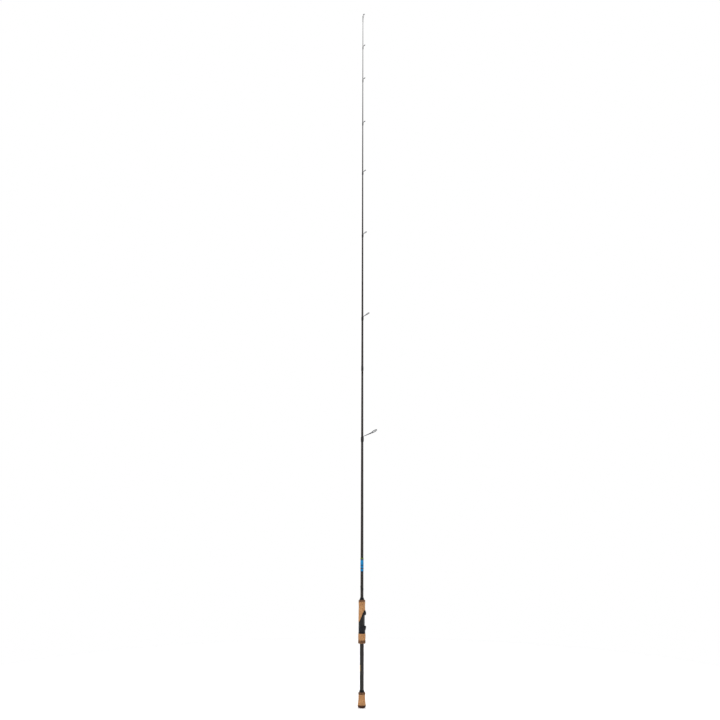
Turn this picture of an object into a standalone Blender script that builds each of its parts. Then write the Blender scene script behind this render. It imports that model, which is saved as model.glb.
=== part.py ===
"""Two-piece spinning rod, 2.13 m long, with a split cork handle and an up-locking reel seat.

The rod stands along +Z with its butt end at the origin. The guides, the reel foot bed and
both hoods face +X. Dimensions are in millimetres; new_object() turns them into metres.
"""

import math

import bmesh
import bpy
from mathutils import Matrix, Vector

MM = 0.001

# Rod and blank
ROD_LENGTH = 2134.0
TAPER = 0.00473            # diameter lost for each millimetre of length
BUTT_END_OD = 11.07        # blank diameter at the butt end
BUTT_BLANK_BOTTOM = 4.0
FERRULE_Z = 1036.0         # where the tip section starts
FERRULE_OVERLAP = 61.0     # how far the male end reaches into the tip section
TIP_BLANK_OD = 6.6         # tip section's diameter at the ferrule
MALE_END_OD = 5.3
SOCKET_ID = 5.7
SOCKET_DEPTH = 64.0
BLANK_WALL = 0.75          # wall at the ferrule
BUTT_WALL = 1.3            # wall at the butt end
TIP_HOLLOW = 900.0         # length of the tip section's hollow
GAP = 0.3                  # clearance between neighbouring pieces
FINE_GAP = 0.12            # clearance inside the small guides

# Rear grip
CAP_TOP = 9.0
REAR_CORK_TOP = 41.0
REAR_RING_TOP = 48.0
REAR_CHECK_TOP = 55.0
REAR_CORK_RADIUS = 10.4
REAR_RING_RADIUS = 10.9
CAP_RADIUS = 12.8
CAP_FLAT_RADIUS = 6.0      # flat that the butt end stands on
GRIP_BORE = 5.85

# Split-grip sleeve with its gold band
SLEEVE_RADIUS = 6.2
SLEEVE_BORE = 5.7
SLEEVE_TOP = 201.6
BAND_BOTTOM = 113.0
BAND_TOP = 132.0

# Reel seat
SEAT_BOTTOM = 202.0
SHOULDER_Z = 252.6         # where the threaded barrel ends and the foot bed body starts
SEAT_BORE = 5.35
BARREL_RADIUS = 8.0
FLAT_HALF_ANGLE = math.radians(27.0)
BED_X = BARREL_RADIUS * math.cos(FLAT_HALF_ANGLE)
BED_HALF_ANGLE = math.radians(36.0)
BED_SHARE = 0.7            # share of the body's height where the bed steps down under the fixed hood
BED_RELIEF = 0.2
BODY_SIDE = 9.4            # half-width of the body along Y
BODY_BACK = 10.4           # reach of the body's back from the axis
SLANT_LOW = 263.0          # the slanted joint with the cork, at the back
SLANT_RISE = 37.5
SLANT_REACH = 10.0
SLANT_POWER = 1.7
SEAT_SEGMENTS = 40

# Hoods. A roof is given by heights and how far it reaches from the axis along X
FRONT_HOOD_ROOF = ((281.0, 13.1), (287.0, 13.5), (291.5, 13.8), (295.0, 13.3), (298.0, 12.1), (301.0, 10.5))
FRONT_HOOD_SPREAD = 54     # degrees that the fixed hood reaches to each side
FRONT_HOOD_MOUTH = 281.8
FRONT_HOOD_BOW = 5.2       # how much higher its mouth is in the middle than at the sides
HOOD_BOTTOM = 233.3
HOOD_TOP = 252.0
HOOD_ROOF = (
    (233.3, 10.2), (238.0, 11.0), (241.0, 12.2), (244.0, 13.1), (247.0, 13.7), (250.8, 13.7), (252.0, 13.4),
)
POCKET_BOTTOM = 238.8
POCKET_ROOF = ((238.8, 9.0), (241.0, 10.8), (246.0, 12.6), (252.0, 12.7))
HOOD_WALL = 1.0
HOOD_ROOF_ROUND = 8.2      # radius of the hood's rounded roof
HOOD_RING_RADIUS = 10.2
CUSHION = 0.5              # thickness of the liner under each hood's roof

# Lock nut
NUT_BORE = 8.35
NUT_CORE_RADIUS = 9.3
NUT_REAR = 198.0
NUT_CORK_BOTTOM = 208.5
NUT_CORK_TOP = 228.5
NUT_FRONT = 233.0
NUT_CORK_RADIUS = 11.2
NUT_RING_RADIUS = 11.55
NUT_FRONT_RING_RADIUS = 10.6

# Foregrip
FOREGRIP_TOP = 326.8
FOREGRIP_RING_TOP = 332.0
FOREGRIP_CHECK_TOP = 339.2
FOREGRIP_BORE = 5.3
CORK_EDGE = 10.3           # the cork's radius at its slanted joint
FOREGRIP_LINE = ((263.0, 10.5), (285.0, 10.4), (299.0, 10.15), (311.0, 9.75), (322.0, 10.25), (326.8, 10.2))

# Hook keeper and decorative thread bands
KEEPER_BOTTOM = 361.0
KEEPER_FOOT = 8.0
KEEPER_ARCH = 9.0
KEEPER_TOE = 1.5        # free end above the loop, resting on the blank
KEEPER_HEIGHT = 5.4
KEEPER_WIRE = 0.5
KEEPER_WRAP = 7.2
KEEPER_THREAD = 0.22
BAND_THREAD = 0.4
THREAD_BANDS = (("blue_wrap", 419.0, 454.6), ("navy_wrap", 455.0, 457.8), ("green_wrap", 458.2, 461.2))

# Line guides: ring centre height, ring centre distance from the axis, frame radius, leg slope
GUIDE_TILT = math.radians(35.0)
LEG_THICKENING = 2.3    # how much thicker the legs are than the foot
GUIDES = (
    (851.0, 41.0, 10.2, 19.0),
    (1212.0, 18.6, 5.8, 25.0),
    (1462.0, 10.7, 4.2, 26.0),
    (1652.0, 8.3, 3.1, 28.0),
    (1803.0, 6.6, 2.7, 30.0),
    (1936.0, 6.2, 2.7, 30.0),
    (2037.0, 5.8, 2.6, 30.0),
)
LEG_SPREAD = math.radians(55.0)

# Tip-top
TUBE_BOTTOM = 2114.0
TUBE_TOP = 2127.0
TIP_RING_X = 3.3
TIP_RING_RADIUS = 2.9

COLOURS = {
    "blank": ((46, 39, 37), 0.38, 0.0),
    "sleeve": ((34, 31, 29), 0.35, 0.0),
    "cork": ((189, 143, 98), 0.85, 0.0),
    "burl": ((112, 78, 49), 0.8, 0.0),
    "cap": ((74, 42, 22), 0.75, 0.0),
    "check": ((24, 24, 25), 0.35, 0.6),
    "seat": ((30, 27, 25), 0.5, 0.0),
    "hood": ((28, 30, 36), 0.3, 0.8),
    "cushion": ((16, 16, 17), 0.7, 0.0),
    "insert": ((40, 40, 42), 0.5, 0.0),
    "gold": ((176, 136, 66), 0.35, 0.9),
    "blue": ((9, 128, 192), 0.25, 0.0),
    "navy": ((24, 42, 74), 0.25, 0.0),
    "green": ((138, 166, 62), 0.3, 0.0),
    "thread": ((30, 27, 25), 0.2, 0.0),
    "steel": ((120, 122, 126), 0.28, 1.0),
    "ceramic": ((22, 22, 24), 0.12, 0.0),
}


def linear(channel):
    """One sRGB channel, 0 to 255, as a linear value."""
    value = channel / 255
    return value / 12.92 if value <= 0.04045 else ((value + 0.055) / 1.055) ** 2.4


def material(name):
    """The named finish, made once."""
    found = bpy.data.materials.get(name)
    if found:
        return found
    colour, roughness, metallic = COLOURS[name]
    made = bpy.data.materials.new(name)
    made.use_nodes = True
    shader = made.node_tree.nodes["Principled BSDF"]
    shader.inputs["Base Color"].default_value = (*[linear(c) for c in colour], 1.0)
    shader.inputs["Roughness"].default_value = roughness
    shader.inputs["Metallic"].default_value = metallic
    return made


def new_object(name, bm, finish, z=0.0, parent=None, sharp=40.0):
    """Make an object from a mesh in millimetres, placed at height z on the rod's axis."""
    bmesh.ops.recalc_face_normals(bm, faces=bm.faces)
    bmesh.ops.scale(bm, vec=(MM, MM, MM), verts=bm.verts)
    mesh = bpy.data.meshes.new(name)
    bm.to_mesh(mesh)
    bm.free()
    mesh.shade_smooth()
    mesh.set_sharp_from_angle(angle=math.radians(sharp))
    mesh.materials.append(material(finish))
    made = bpy.data.objects.new(name, mesh)
    bpy.context.collection.objects.link(made)
    made.location.z = z * MM
    if parent:
        hang_on(made, parent)
    return made


def hang_on(child, parent):
    """Parent an object without moving it."""
    bpy.context.view_layer.update()
    child.parent = parent
    child.matrix_parent_inverse = parent.matrix_world.inverted()


def joint_empty(name, z):
    """An empty on the rod's axis that carries the pieces of one moving body."""
    made = bpy.data.objects.new(name, None)
    bpy.context.collection.objects.link(made)
    made.location.z = z * MM
    return made


def turned_mesh(outline, segments):
    """Turn a closed outline of (radius, height) points around the Z axis."""
    bm = bmesh.new()
    verts = [bm.verts.new((radius, 0.0, height)) for radius, height in outline]
    pairs = list(zip(verts, verts[1:] + verts[:1]))
    edges = [bm.edges.new(pair) for pair in pairs if pair[0].co.x + pair[1].co.x > 0.0]
    bmesh.ops.spin(
        bm, geom=verts + edges, cent=(0, 0, 0), axis=(0, 0, 1),
        angle=math.tau, steps=segments, use_merge=True,
    )
    bmesh.ops.remove_doubles(bm, verts=bm.verts, dist=0.0005)
    return bm


def turned(name, outline, finish, z=0.0, parent=None, segments=32, sharp=40.0):
    """A turned piece whose outline heights count from z."""
    return new_object(name, turned_mesh(outline, segments), finish, z, parent, sharp)


def even_angles(count):
    """Angles that divide a full turn evenly, from 0."""
    return [math.tau * step / count for step in range(count)]


def walls(name, rows, finish, z=0.0, parent=None, angles=None, sharp=40.0):
    """A piece that goes once round the axis. Each row maps an angle to (radius, height),
    and the rows follow each other up the outside and down the inside."""
    bm = bmesh.new()
    angles = angles or even_angles(SEAT_SEGMENTS)
    grid = []
    for row in rows:
        ring = []
        for angle in angles:
            radius, height = row(math.remainder(angle, math.tau))
            ring.append(bm.verts.new((radius * math.cos(angle), radius * math.sin(angle), height)))
        grid.append(ring)
    for lower, upper in zip(grid, grid[1:] + grid[:1]):
        for step in range(len(angles)):
            after = (step + 1) % len(angles)
            bm.faces.new((lower[step], lower[after], upper[after], upper[step]))
    return new_object(name, bm, finish, z, parent, sharp)


def slab(name, outside, inside, finish, z=0.0, parent=None, sharp=40.0):
    """A closed sheet between two grids of points of the same size."""
    bm = bmesh.new()
    top = [[bm.verts.new(point) for point in line] for line in outside]
    low = [[bm.verts.new(point) for point in line] for line in inside]
    for sheet in (top, low):
        for line, following in zip(sheet, sheet[1:]):
            for a, b, c, d in zip(line, line[1:], following[1:], following):
                bm.faces.new((a, b, c, d))
    rims = []
    for sheet in (top, low):
        right = [line[-1] for line in sheet[1:]]
        back = sheet[-1][-2::-1]
        left = [line[0] for line in sheet[-2:0:-1]]
        rims.append(sheet[0] + right + back + left)
    upper, lower = rims
    for step in range(len(upper)):
        after = (step + 1) % len(upper)
        bm.faces.new((upper[step], upper[after], lower[after], lower[step]))
    return new_object(name, bm, finish, z, parent, sharp)


def polar(radius, angle, height):
    """A point from cylindrical coordinates."""
    return Vector((radius * math.cos(angle), radius * math.sin(angle), height))


def along(points, at):
    """Read a value from (position, value) points joined by straight lines."""
    for (start, low), (end, high) in zip(points, points[1:]):
        if at <= end:
            share = max(0.0, (at - start) / (end - start))
            return low + (high - low) * share
    return points[-1][1]


def butt_radius(z):
    """Outer radius of the butt section's blank."""
    return (BUTT_END_OD - TAPER * z) / 2


def tip_radius(z):
    """Outer radius of the tip section's blank."""
    return (TIP_BLANK_OD - TAPER * (z - FERRULE_Z)) / 2


# Blanks

def make_butt_blank():
    top = FERRULE_Z + FERRULE_OVERLAP
    step = FERRULE_Z - 1.0
    male = MALE_END_OD / 2
    outline = [
        (butt_radius(BUTT_BLANK_BOTTOM), BUTT_BLANK_BOTTOM),
        (butt_radius(step), step),
        (male + 0.05, step + 0.6),
        (male - 0.1, top - 0.5),
        (male - 0.4, top),
        (male - BLANK_WALL, top),
        (male - BLANK_WALL, step - 5.0),
        (butt_radius(BUTT_BLANK_BOTTOM) - BUTT_WALL, BUTT_BLANK_BOTTOM),
    ]
    turned("butt_blank", outline, "blank", segments=24)


def make_tip_blank(parent):
    end = TUBE_TOP - 1.0 - FERRULE_Z
    outline = [
        (tip_radius(FERRULE_Z), 0.0),
        (tip_radius(FERRULE_Z + end), end),
        (0.0, end),
        (0.0, TIP_HOLLOW),
        (0.4, TIP_HOLLOW),
        (SOCKET_ID / 2 - BLANK_WALL, SOCKET_DEPTH + 3.0),
        (SOCKET_ID / 2 - 0.1, SOCKET_DEPTH),
        (SOCKET_ID / 2 + 0.05, 0.0),
    ]
    turned("tip_blank", outline, "blank", FERRULE_Z, parent, segments=20)


# Butt grip

def make_butt_grip():
    cap = [
        (0.0, 0.0),
        (CAP_FLAT_RADIUS, 0.0),
        (8.0, 0.5),
        (9.8, 1.5),
        (11.2, 2.9),
        (12.2, 4.7),
        (CAP_RADIUS, 7.0),
        (CAP_RADIUS - 0.1, CAP_TOP),
        (GRIP_BORE, CAP_TOP),
        (GRIP_BORE, BUTT_BLANK_BOTTOM - GAP),
        (0.0, BUTT_BLANK_BOTTOM - GAP),
    ]
    turned("butt_cap", cap, "cap")

    bottom = CAP_TOP + GAP
    height = REAR_CORK_TOP - bottom
    cork = [
        (CAP_RADIUS - 0.15, 0.0),
        (12.1, 3.6),
        (11.6, 7.4),
        (11.0, 13.2),
        (REAR_CORK_RADIUS, 19.5),
        (REAR_CORK_RADIUS - 0.1, 26.0),
        (REAR_CORK_RADIUS, height),
        (GRIP_BORE, height),
        (GRIP_BORE, 0.0),
    ]
    turned("butt_grip_cork", cork, "cork", bottom)

    bottom = REAR_CORK_TOP + GAP
    height = REAR_RING_TOP - bottom
    ring = [
        (REAR_CORK_RADIUS, 0.0),
        (REAR_RING_RADIUS, 2.2),
        (REAR_RING_RADIUS, height - 1.2),
        (REAR_RING_RADIUS - 0.9, height),
        (GRIP_BORE, height),
        (GRIP_BORE, 0.0),
    ]
    turned("butt_grip_ring", ring, "burl", bottom)

    bottom = REAR_RING_TOP + GAP
    height = REAR_CHECK_TOP - bottom
    bore = SLEEVE_RADIUS + GAP
    check = [
        (8.5, 0.0),
        (8.5, 1.2),
        (7.1, height - 0.6),
        (6.8, height),
        (bore, height),
        (bore, 0.0),
    ]
    turned("butt_grip_check", check, "check", bottom)


def make_sleeve():
    bottom = REAR_RING_TOP + 2 * GAP
    height = SLEEVE_TOP - bottom
    tube = [(SLEEVE_RADIUS, 0.0), (SLEEVE_RADIUS, height), (SLEEVE_BORE, height), (SLEEVE_BORE, 0.0)]
    turned("split_grip_sleeve", tube, "sleeve", bottom)
    height = BAND_TOP - BAND_BOTTOM
    inner = SLEEVE_RADIUS + FINE_GAP
    band = [(inner + 0.12, 0.0), (inner + 0.12, height), (inner, height), (inner, 0.0)]
    turned("gold_trim_band", band, "gold", BAND_BOTTOM)


# Reel seat: the barrel has a flat that carries the foot and keys the moving hood

def ellipse(across, sideways, angle):
    """Radius of an ellipse at an angle from its first half-axis."""
    return 1 / math.hypot(math.cos(angle) / across, math.sin(angle) / sideways)


def d_shape(radius, flat, angle):
    """Radius of a circle cut by a flat on the +X side."""
    facing = math.cos(angle)
    return min(radius, flat / facing) if facing > 0 else radius


def bed_front():
    """Half-axis that makes the body's front meet the foot bed at the bed's edge."""
    y = BED_X * math.tan(BED_HALF_ANGLE)
    return BED_X / math.sqrt(1 - (y / BODY_SIDE) ** 2)


def body_radius(angle, relief=0.0):
    """Outer radius of the seat body. relief lowers the foot bed."""
    if abs(angle) > math.pi / 2:
        return ellipse(BODY_BACK, BODY_SIDE, angle)
    return d_shape(ellipse(bed_front(), BODY_SIDE, angle), BED_X - relief, angle)


def slant(x):
    """Height of the joint between the seat and the foregrip cork."""
    share = min(1.0, max(0.0, (1 + x / SLANT_REACH) / 2))
    return SLANT_LOW + SLANT_RISE * share ** SLANT_POWER


def roof_radius(top, round_radius, angle):
    """Radius of a rounded roof that reaches x = top."""
    centre = top - round_radius
    under = round_radius ** 2 - (centre * math.sin(angle)) ** 2
    return centre * math.cos(angle) + math.sqrt(max(0.0, under))


def make_reel_seat():
    def barrel(height, shrink=0.0):
        return lambda angle: (d_shape(BARREL_RADIUS, BED_X, angle) - shrink, height)

    def body(share, shrink=0.0, relief=0.0):
        def row(angle):
            radius = body_radius(angle, relief) - shrink
            top = slant(radius * math.cos(angle))
            return radius, SHOULDER_Z + (top - SHOULDER_Z) * share
        return row

    def bore(angle):
        return SEAT_BORE, slant(SEAT_BORE * math.cos(angle))

    rows = [barrel(SEAT_BOTTOM, 0.5), barrel(SEAT_BOTTOM + 0.8), barrel(SHOULDER_Z - 0.25)]
    rows += [body(0.0, shrink=0.45), body(0.015), body(BED_SHARE)]
    rows += [body(BED_SHARE + 0.02, relief=BED_RELIEF), body(1.0, relief=BED_RELIEF)]
    rows += [bore, lambda angle: (SEAT_BORE, SEAT_BOTTOM)]
    walls("reel_seat_body", rows, "seat")


def make_front_hood():
    """The fixed hood: a rounded roof over the foot bed's upper end, joined to the cork's edge."""
    columns = [math.radians(angle) for angle in range(-FRONT_HOOD_SPREAD, FRONT_HOOD_SPREAD + 1, 9)]
    shares = (0.0, 0.12, 0.35, 0.6, 0.75, 0.9, 1.0)
    outside, inside, lining, lining_under = [], [], [], []
    for angle in columns:
        mouth = FRONT_HOOD_MOUTH + FRONT_HOOD_BOW * math.cos(angle) ** 2
        seat = body_radius(angle) + GAP
        outer_end = slant(CORK_EDGE * math.cos(angle)) - 0.4
        inner_end = slant(seat * math.cos(angle)) - 0.4
        out_line, in_line, pad, pad_under = [], [], [], []
        for share in shares:
            out_z = mouth + (outer_end - mouth) * share
            in_z = mouth + (inner_end - mouth) * share
            roof = along(FRONT_HOOD_ROOF, out_z)
            ceiling = along(FRONT_HOOD_ROOF, in_z) - HOOD_WALL
            outer = max(roof_radius(roof, HOOD_ROOF_ROUND, angle), seat + HOOD_WALL)
            inner = max(roof_radius(ceiling, HOOD_ROOF_ROUND - HOOD_WALL, angle), seat)
            if share >= 0.9:
                inner = seat
            out_line.append(polar(outer, angle, out_z))
            in_line.append(polar(inner, angle, in_z))
            if abs(angle) < math.radians(28) and 0.1 < share < 0.65:
                pad.append(polar(inner - FINE_GAP, angle, in_z))
                pad_under.append(polar(inner - FINE_GAP - CUSHION, angle, in_z))
        outside.append(out_line)
        inside.append(in_line)
        if pad:
            lining.append(pad)
            lining_under.append(pad_under)
    slab("front_hood", outside, inside, "hood")
    slab("front_hood_liner", lining, lining_under, "cushion")


# Moving hood: it slides on the barrel, and the lock nut behind it pushes it up

def hood_wall(height):
    """A row of the moving hood's outside."""
    def row(angle):
        ring = ellipse(HOOD_RING_RADIUS + 0.2, HOOD_RING_RADIUS, angle)
        return max(ring, roof_radius(along(HOOD_ROOF, height), HOOD_ROOF_ROUND, angle)), height
    return row


def hood_pocket(height):
    """A row of the pocket that takes the end of the reel foot."""
    def row(angle):
        reach = roof_radius(along(POCKET_ROOF, height), HOOD_ROOF_ROUND - HOOD_WALL, angle)
        return max(BARREL_RADIUS + GAP, reach), height
    return row


def hood_bore(height):
    """A row of the D-shaped bore that keeps the hood from turning on the barrel."""
    return lambda angle: (d_shape(BARREL_RADIUS + GAP, BED_X + GAP, angle), height)


def make_moving_hood(parent):
    rows = [hood_wall(z) for z, reach in HOOD_ROOF]
    rows += [hood_pocket(z) for z, reach in reversed(POCKET_ROOF)]
    rows += [hood_bore(POCKET_BOTTOM - 1.0), hood_bore(HOOD_BOTTOM)]
    walls("moving_hood", rows, "hood", parent=parent)

    outside, inside = [], []
    for angle in [math.radians(step) for step in range(-27, 28, 9)]:
        reach = [(z, hood_pocket(z)(angle)[0] - FINE_GAP) for z in (242.0, 246.0, 251.6)]
        outside.append([polar(radius, angle, z) for z, radius in reach])
        inside.append([polar(radius - CUSHION, angle, z) for z, radius in reach])
    slab("moving_hood_liner", outside, inside, "cushion", parent=parent)


def make_lock_nut(parent):
    height = NUT_FRONT - NUT_REAR
    core = [
        (NUT_CORE_RADIUS, 0.6),
        (NUT_CORE_RADIUS, height - 0.6),
        (NUT_BORE, height - 0.6),
        (NUT_BORE, 0.6),
    ]
    turned("lock_nut_core", core, "insert", NUT_REAR, parent)

    bore = NUT_CORE_RADIUS + GAP
    height = NUT_CORK_BOTTOM - GAP - NUT_REAR
    rear = [
        (NUT_RING_RADIUS - 0.8, 0.0),
        (NUT_RING_RADIUS, 1.0),
        (NUT_RING_RADIUS, height - 2.0),
        (NUT_CORK_RADIUS - 0.1, height),
        (bore, height),
        (bore, 0.0),
    ]
    turned("lock_nut_rear_ring", rear, "burl", NUT_REAR, parent)

    height = NUT_CORK_TOP - NUT_CORK_BOTTOM
    cork = [
        (NUT_CORK_RADIUS - 0.1, 0.0),
        (NUT_CORK_RADIUS, height * 0.35),
        (NUT_CORK_RADIUS + 0.15, height * 0.65),
        (NUT_CORK_RADIUS - 0.05, height * 0.9),
        (NUT_CORK_RADIUS - 0.4, height),
        (bore, height),
        (bore, 0.0),
    ]
    turned("lock_nut_cork", cork, "cork", NUT_CORK_BOTTOM, parent)

    bottom = NUT_CORK_TOP + GAP
    height = NUT_FRONT - bottom
    front = [
        (NUT_FRONT_RING_RADIUS, 0.0),
        (NUT_FRONT_RING_RADIUS + 0.1, height * 0.5),
        (NUT_FRONT_RING_RADIUS - 0.3, height),
        (bore, height),
        (bore, 0.0),
    ]
    turned("lock_nut_front_ring", front, "check", bottom, parent)


# Foregrip

def make_foregrip():
    def outer(share):
        def row(angle):
            bottom = slant(CORK_EDGE * math.cos(angle)) + GAP
            z = bottom + (FOREGRIP_TOP - bottom) * share
            return along(FOREGRIP_LINE, z), z
        return row

    def bore(angle):
        return FOREGRIP_BORE, slant(FOREGRIP_BORE * math.cos(angle)) + GAP

    rows = [outer(share) for share in (0.0, 0.2, 0.4, 0.6, 0.8, 0.92, 1.0)]
    rows += [lambda angle: (FOREGRIP_BORE, FOREGRIP_TOP), bore]
    walls("foregrip_cork", rows, "cork")

    bottom = FOREGRIP_TOP + GAP
    height = FOREGRIP_RING_TOP - bottom
    ring = [
        (10.15, 0.0),
        (10.35, 1.4),
        (10.25, height - 1.4),
        (9.2, height),
        (FOREGRIP_BORE, height),
        (FOREGRIP_BORE, 0.0),
    ]
    turned("foregrip_ring", ring, "burl", bottom)

    bottom = FOREGRIP_RING_TOP + GAP
    height = FOREGRIP_CHECK_TOP - bottom
    bore = butt_radius(bottom) + GAP
    check = [(7.3, 0.0), (7.3, 1.0), (5.6, height - 0.4), (5.4, height), (bore, height), (bore, 0.0)]
    turned("foregrip_check", check, "check", bottom)


# Thread work

def wrap(name, bottom, length, blank, foot, finish, parent=None, turn=0.0, segments=20, thread=0.4):
    """A thread wrap around the blank, with a channel for a guide foot on its +X side.
    foot is (half width, top height above the axis), or None for a plain band."""
    half_width, foot_top = foot or (0.0, 0.0)

    def inner(height):
        def row(angle):
            reach = blank(bottom + height) + FINE_GAP
            facing = math.cos(angle)
            if facing > 0 and foot:
                side = (half_width + FINE_GAP) / max(abs(math.sin(angle)), 1e-6)
                reach = max(reach, min((foot_top + FINE_GAP) / facing, side))
            return reach, height
        return row

    def outer(height, share):
        def row(angle):
            back = blank(bottom + height) + FINE_GAP + thread * share
            front = max(back, foot_top + FINE_GAP + thread * share)
            return roof_radius(front, (front + back) / 2, angle), height
        return row

    profile = ((0.0, 0.8), (0.5, 1.0), (1.0, 0.8))
    angles = even_angles(segments)
    if foot:
        profile = ((0.0, 0.75), (0.1, 1.0), (0.5, 1.15), (0.9, 1.0), (1.0, 0.75))
        corner = math.atan2(half_width + FINE_GAP, foot_top + FINE_GAP)
        side = math.asin((half_width + FINE_GAP) / (blank(bottom + length) + FINE_GAP))
        spare = segments - 5
        angles = [0.0, corner, side]
        angles += [side + (math.tau - 2 * side) * step / (spare + 1) for step in range(1, spare + 1)]
        angles += [-side, -corner]
    rows = [outer(length * at, share) for at, share in profile]
    rows += [inner(length), inner(0.0)]
    made = walls(name, rows, finish, bottom, parent, angles)
    made.rotation_euler.z = turn


def make_hook_keeper():
    """A wire loop on the -Y side, with its foot under a wrap and its other end free."""
    centre = butt_radius(KEEPER_BOTTOM) + FINE_GAP + KEEPER_WIRE
    curve = bpy.data.curves.new("hook_keeper", "CURVE")
    curve.dimensions = "3D"
    curve.bevel_depth = KEEPER_WIRE * MM
    curve.bevel_resolution = 2
    curve.use_fill_caps = True
    points = [(centre, 0.5), (centre, KEEPER_FOOT)]
    steps = 10
    for step in range(1, steps):
        share = step / steps
        lift = KEEPER_HEIGHT * math.sin(math.pi * share) ** 0.7
        points.append((centre + lift, KEEPER_FOOT + KEEPER_ARCH * share))
    loop_end = KEEPER_FOOT + KEEPER_ARCH
    points += [(centre, loop_end), (centre, loop_end + KEEPER_TOE)]
    spline = curve.splines.new("POLY")
    spline.points.add(len(points) - 1)
    for point, (out, height) in zip(spline.points, points):
        point.co = (out * MM, 0.0, height * MM, 1.0)
    curve.materials.append(material("steel"))
    made = bpy.data.objects.new("hook_keeper", curve)
    bpy.context.collection.objects.link(made)
    made.location.z = KEEPER_BOTTOM * MM
    made.rotation_euler.z = -math.pi / 2
    foot = (KEEPER_WIRE, centre + KEEPER_WIRE)
    wrap(
        "hook_keeper_wrap", KEEPER_BOTTOM, KEEPER_WRAP, butt_radius, foot, "thread",
        turn=-math.pi / 2, thread=KEEPER_THREAD,
    )


def make_thread_bands():
    for name, bottom, top in THREAD_BANDS:
        finish = name.split("_")[0]
        wrap(name, bottom, top - bottom, butt_radius, None, finish, thread=BAND_THREAD, segments=24)


# Line guides

def bar_mesh(points, widths, thickness):
    """A flat bar through the points, as wide as widths along Y."""
    bm = bmesh.new()
    rings = []
    for index, (point, width) in enumerate(zip(points, widths)):
        before = points[max(index - 1, 0)]
        after = points[min(index + 1, len(points) - 1)]
        normal = (after - before).cross(Vector((0, 1, 0))).normalized() * thickness / 2
        side = Vector((0, width / 2, 0))
        corners = ((1, 1), (-1, 1), (-1, -1), (1, -1))
        rings.append([bm.verts.new(point + a * side + b * normal) for a, b in corners])
    for lower, upper in zip(rings, rings[1:]):
        for step in range(4):
            after = (step + 1) % 4
            bm.faces.new((lower[step], lower[after], upper[after], upper[step]))
    bm.faces.new(rings[0])
    bm.faces.new(rings[-1])
    return bm


def helper(bm):
    """A throwaway object in millimetres for a Boolean."""
    bmesh.ops.recalc_face_normals(bm, faces=bm.faces)
    mesh = bpy.data.meshes.new("helper")
    bm.to_mesh(mesh)
    bm.free()
    made = bpy.data.objects.new("helper", mesh)
    bpy.context.collection.objects.link(made)
    return made


def united(meshes, hole):
    """One mesh from closed meshes that cross each other, less the hole's mesh."""
    helpers = [helper(bm) for bm in [*meshes, hole]]
    for other in helpers[1:]:
        cut = helpers[0].modifiers.new("cut", "BOOLEAN")
        cut.operation = "DIFFERENCE" if other == helpers[-1] else "UNION"
        cut.solver = "EXACT"
        cut.object = other
    depsgraph = bpy.context.evaluated_depsgraph_get()
    result = bmesh.new()
    result.from_object(helpers[0], depsgraph)
    for used in helpers:
        bpy.data.objects.remove(used)
    bmesh.ops.remove_doubles(result, verts=result.verts, dist=0.002)
    bmesh.ops.dissolve_degenerate(result, edges=result.edges, dist=0.002)
    return result


def ring_outline(inner, outer, depth):
    """Section of a guide's ceramic ring: flat outside, rounded inside."""
    middle = (inner + outer) / 2
    half = depth / 2
    return [
        (outer, -half * 0.7),
        (outer, half * 0.7),
        (middle, half),
        (inner, half * 0.4),
        (inner, -half * 0.4),
        (middle, -half),
    ]


def hoop_mesh(centre, outer, inner, depth, segments):
    """The guide frame's hoop, tilted so that its outer edge leans to the tip."""
    half = depth / 2
    outline = [(outer - 0.1, -half), (outer, 0.0), (outer - 0.1, half), (inner, half), (inner, -half)]
    bm = turned_mesh(outline, segments)
    bmesh.ops.transform(bm, matrix=hoop_matrix(centre), verts=bm.verts)
    return bm


def hoop_hole(centre, radius, segments):
    """The space inside a hoop, which keeps legs and braces out of the ring's seat."""
    reach = 2 * radius
    bm = turned_mesh([(radius, -reach), (radius, reach), (0.0, reach), (0.0, -reach)], segments)
    bmesh.ops.transform(bm, matrix=hoop_matrix(centre), verts=bm.verts)
    return bm


def hoop_matrix(centre):
    return Matrix.Translation(centre) @ Matrix.Rotation(-GUIDE_TILT, 4, "Y")


def make_ring(name, centre, outer, depth, segments, z, parent):
    """The ceramic ring, whose own axis is the hoop's."""
    inner = outer * 0.79
    made = turned(name, ring_outline(inner, outer, depth), "ceramic", z, None, segments, sharp=50.0)
    made.matrix_world = Matrix.Translation(Vector((0, 0, z)) * MM) @ hoop_matrix(centre * MM)
    if parent:
        hang_on(made, parent)


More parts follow.
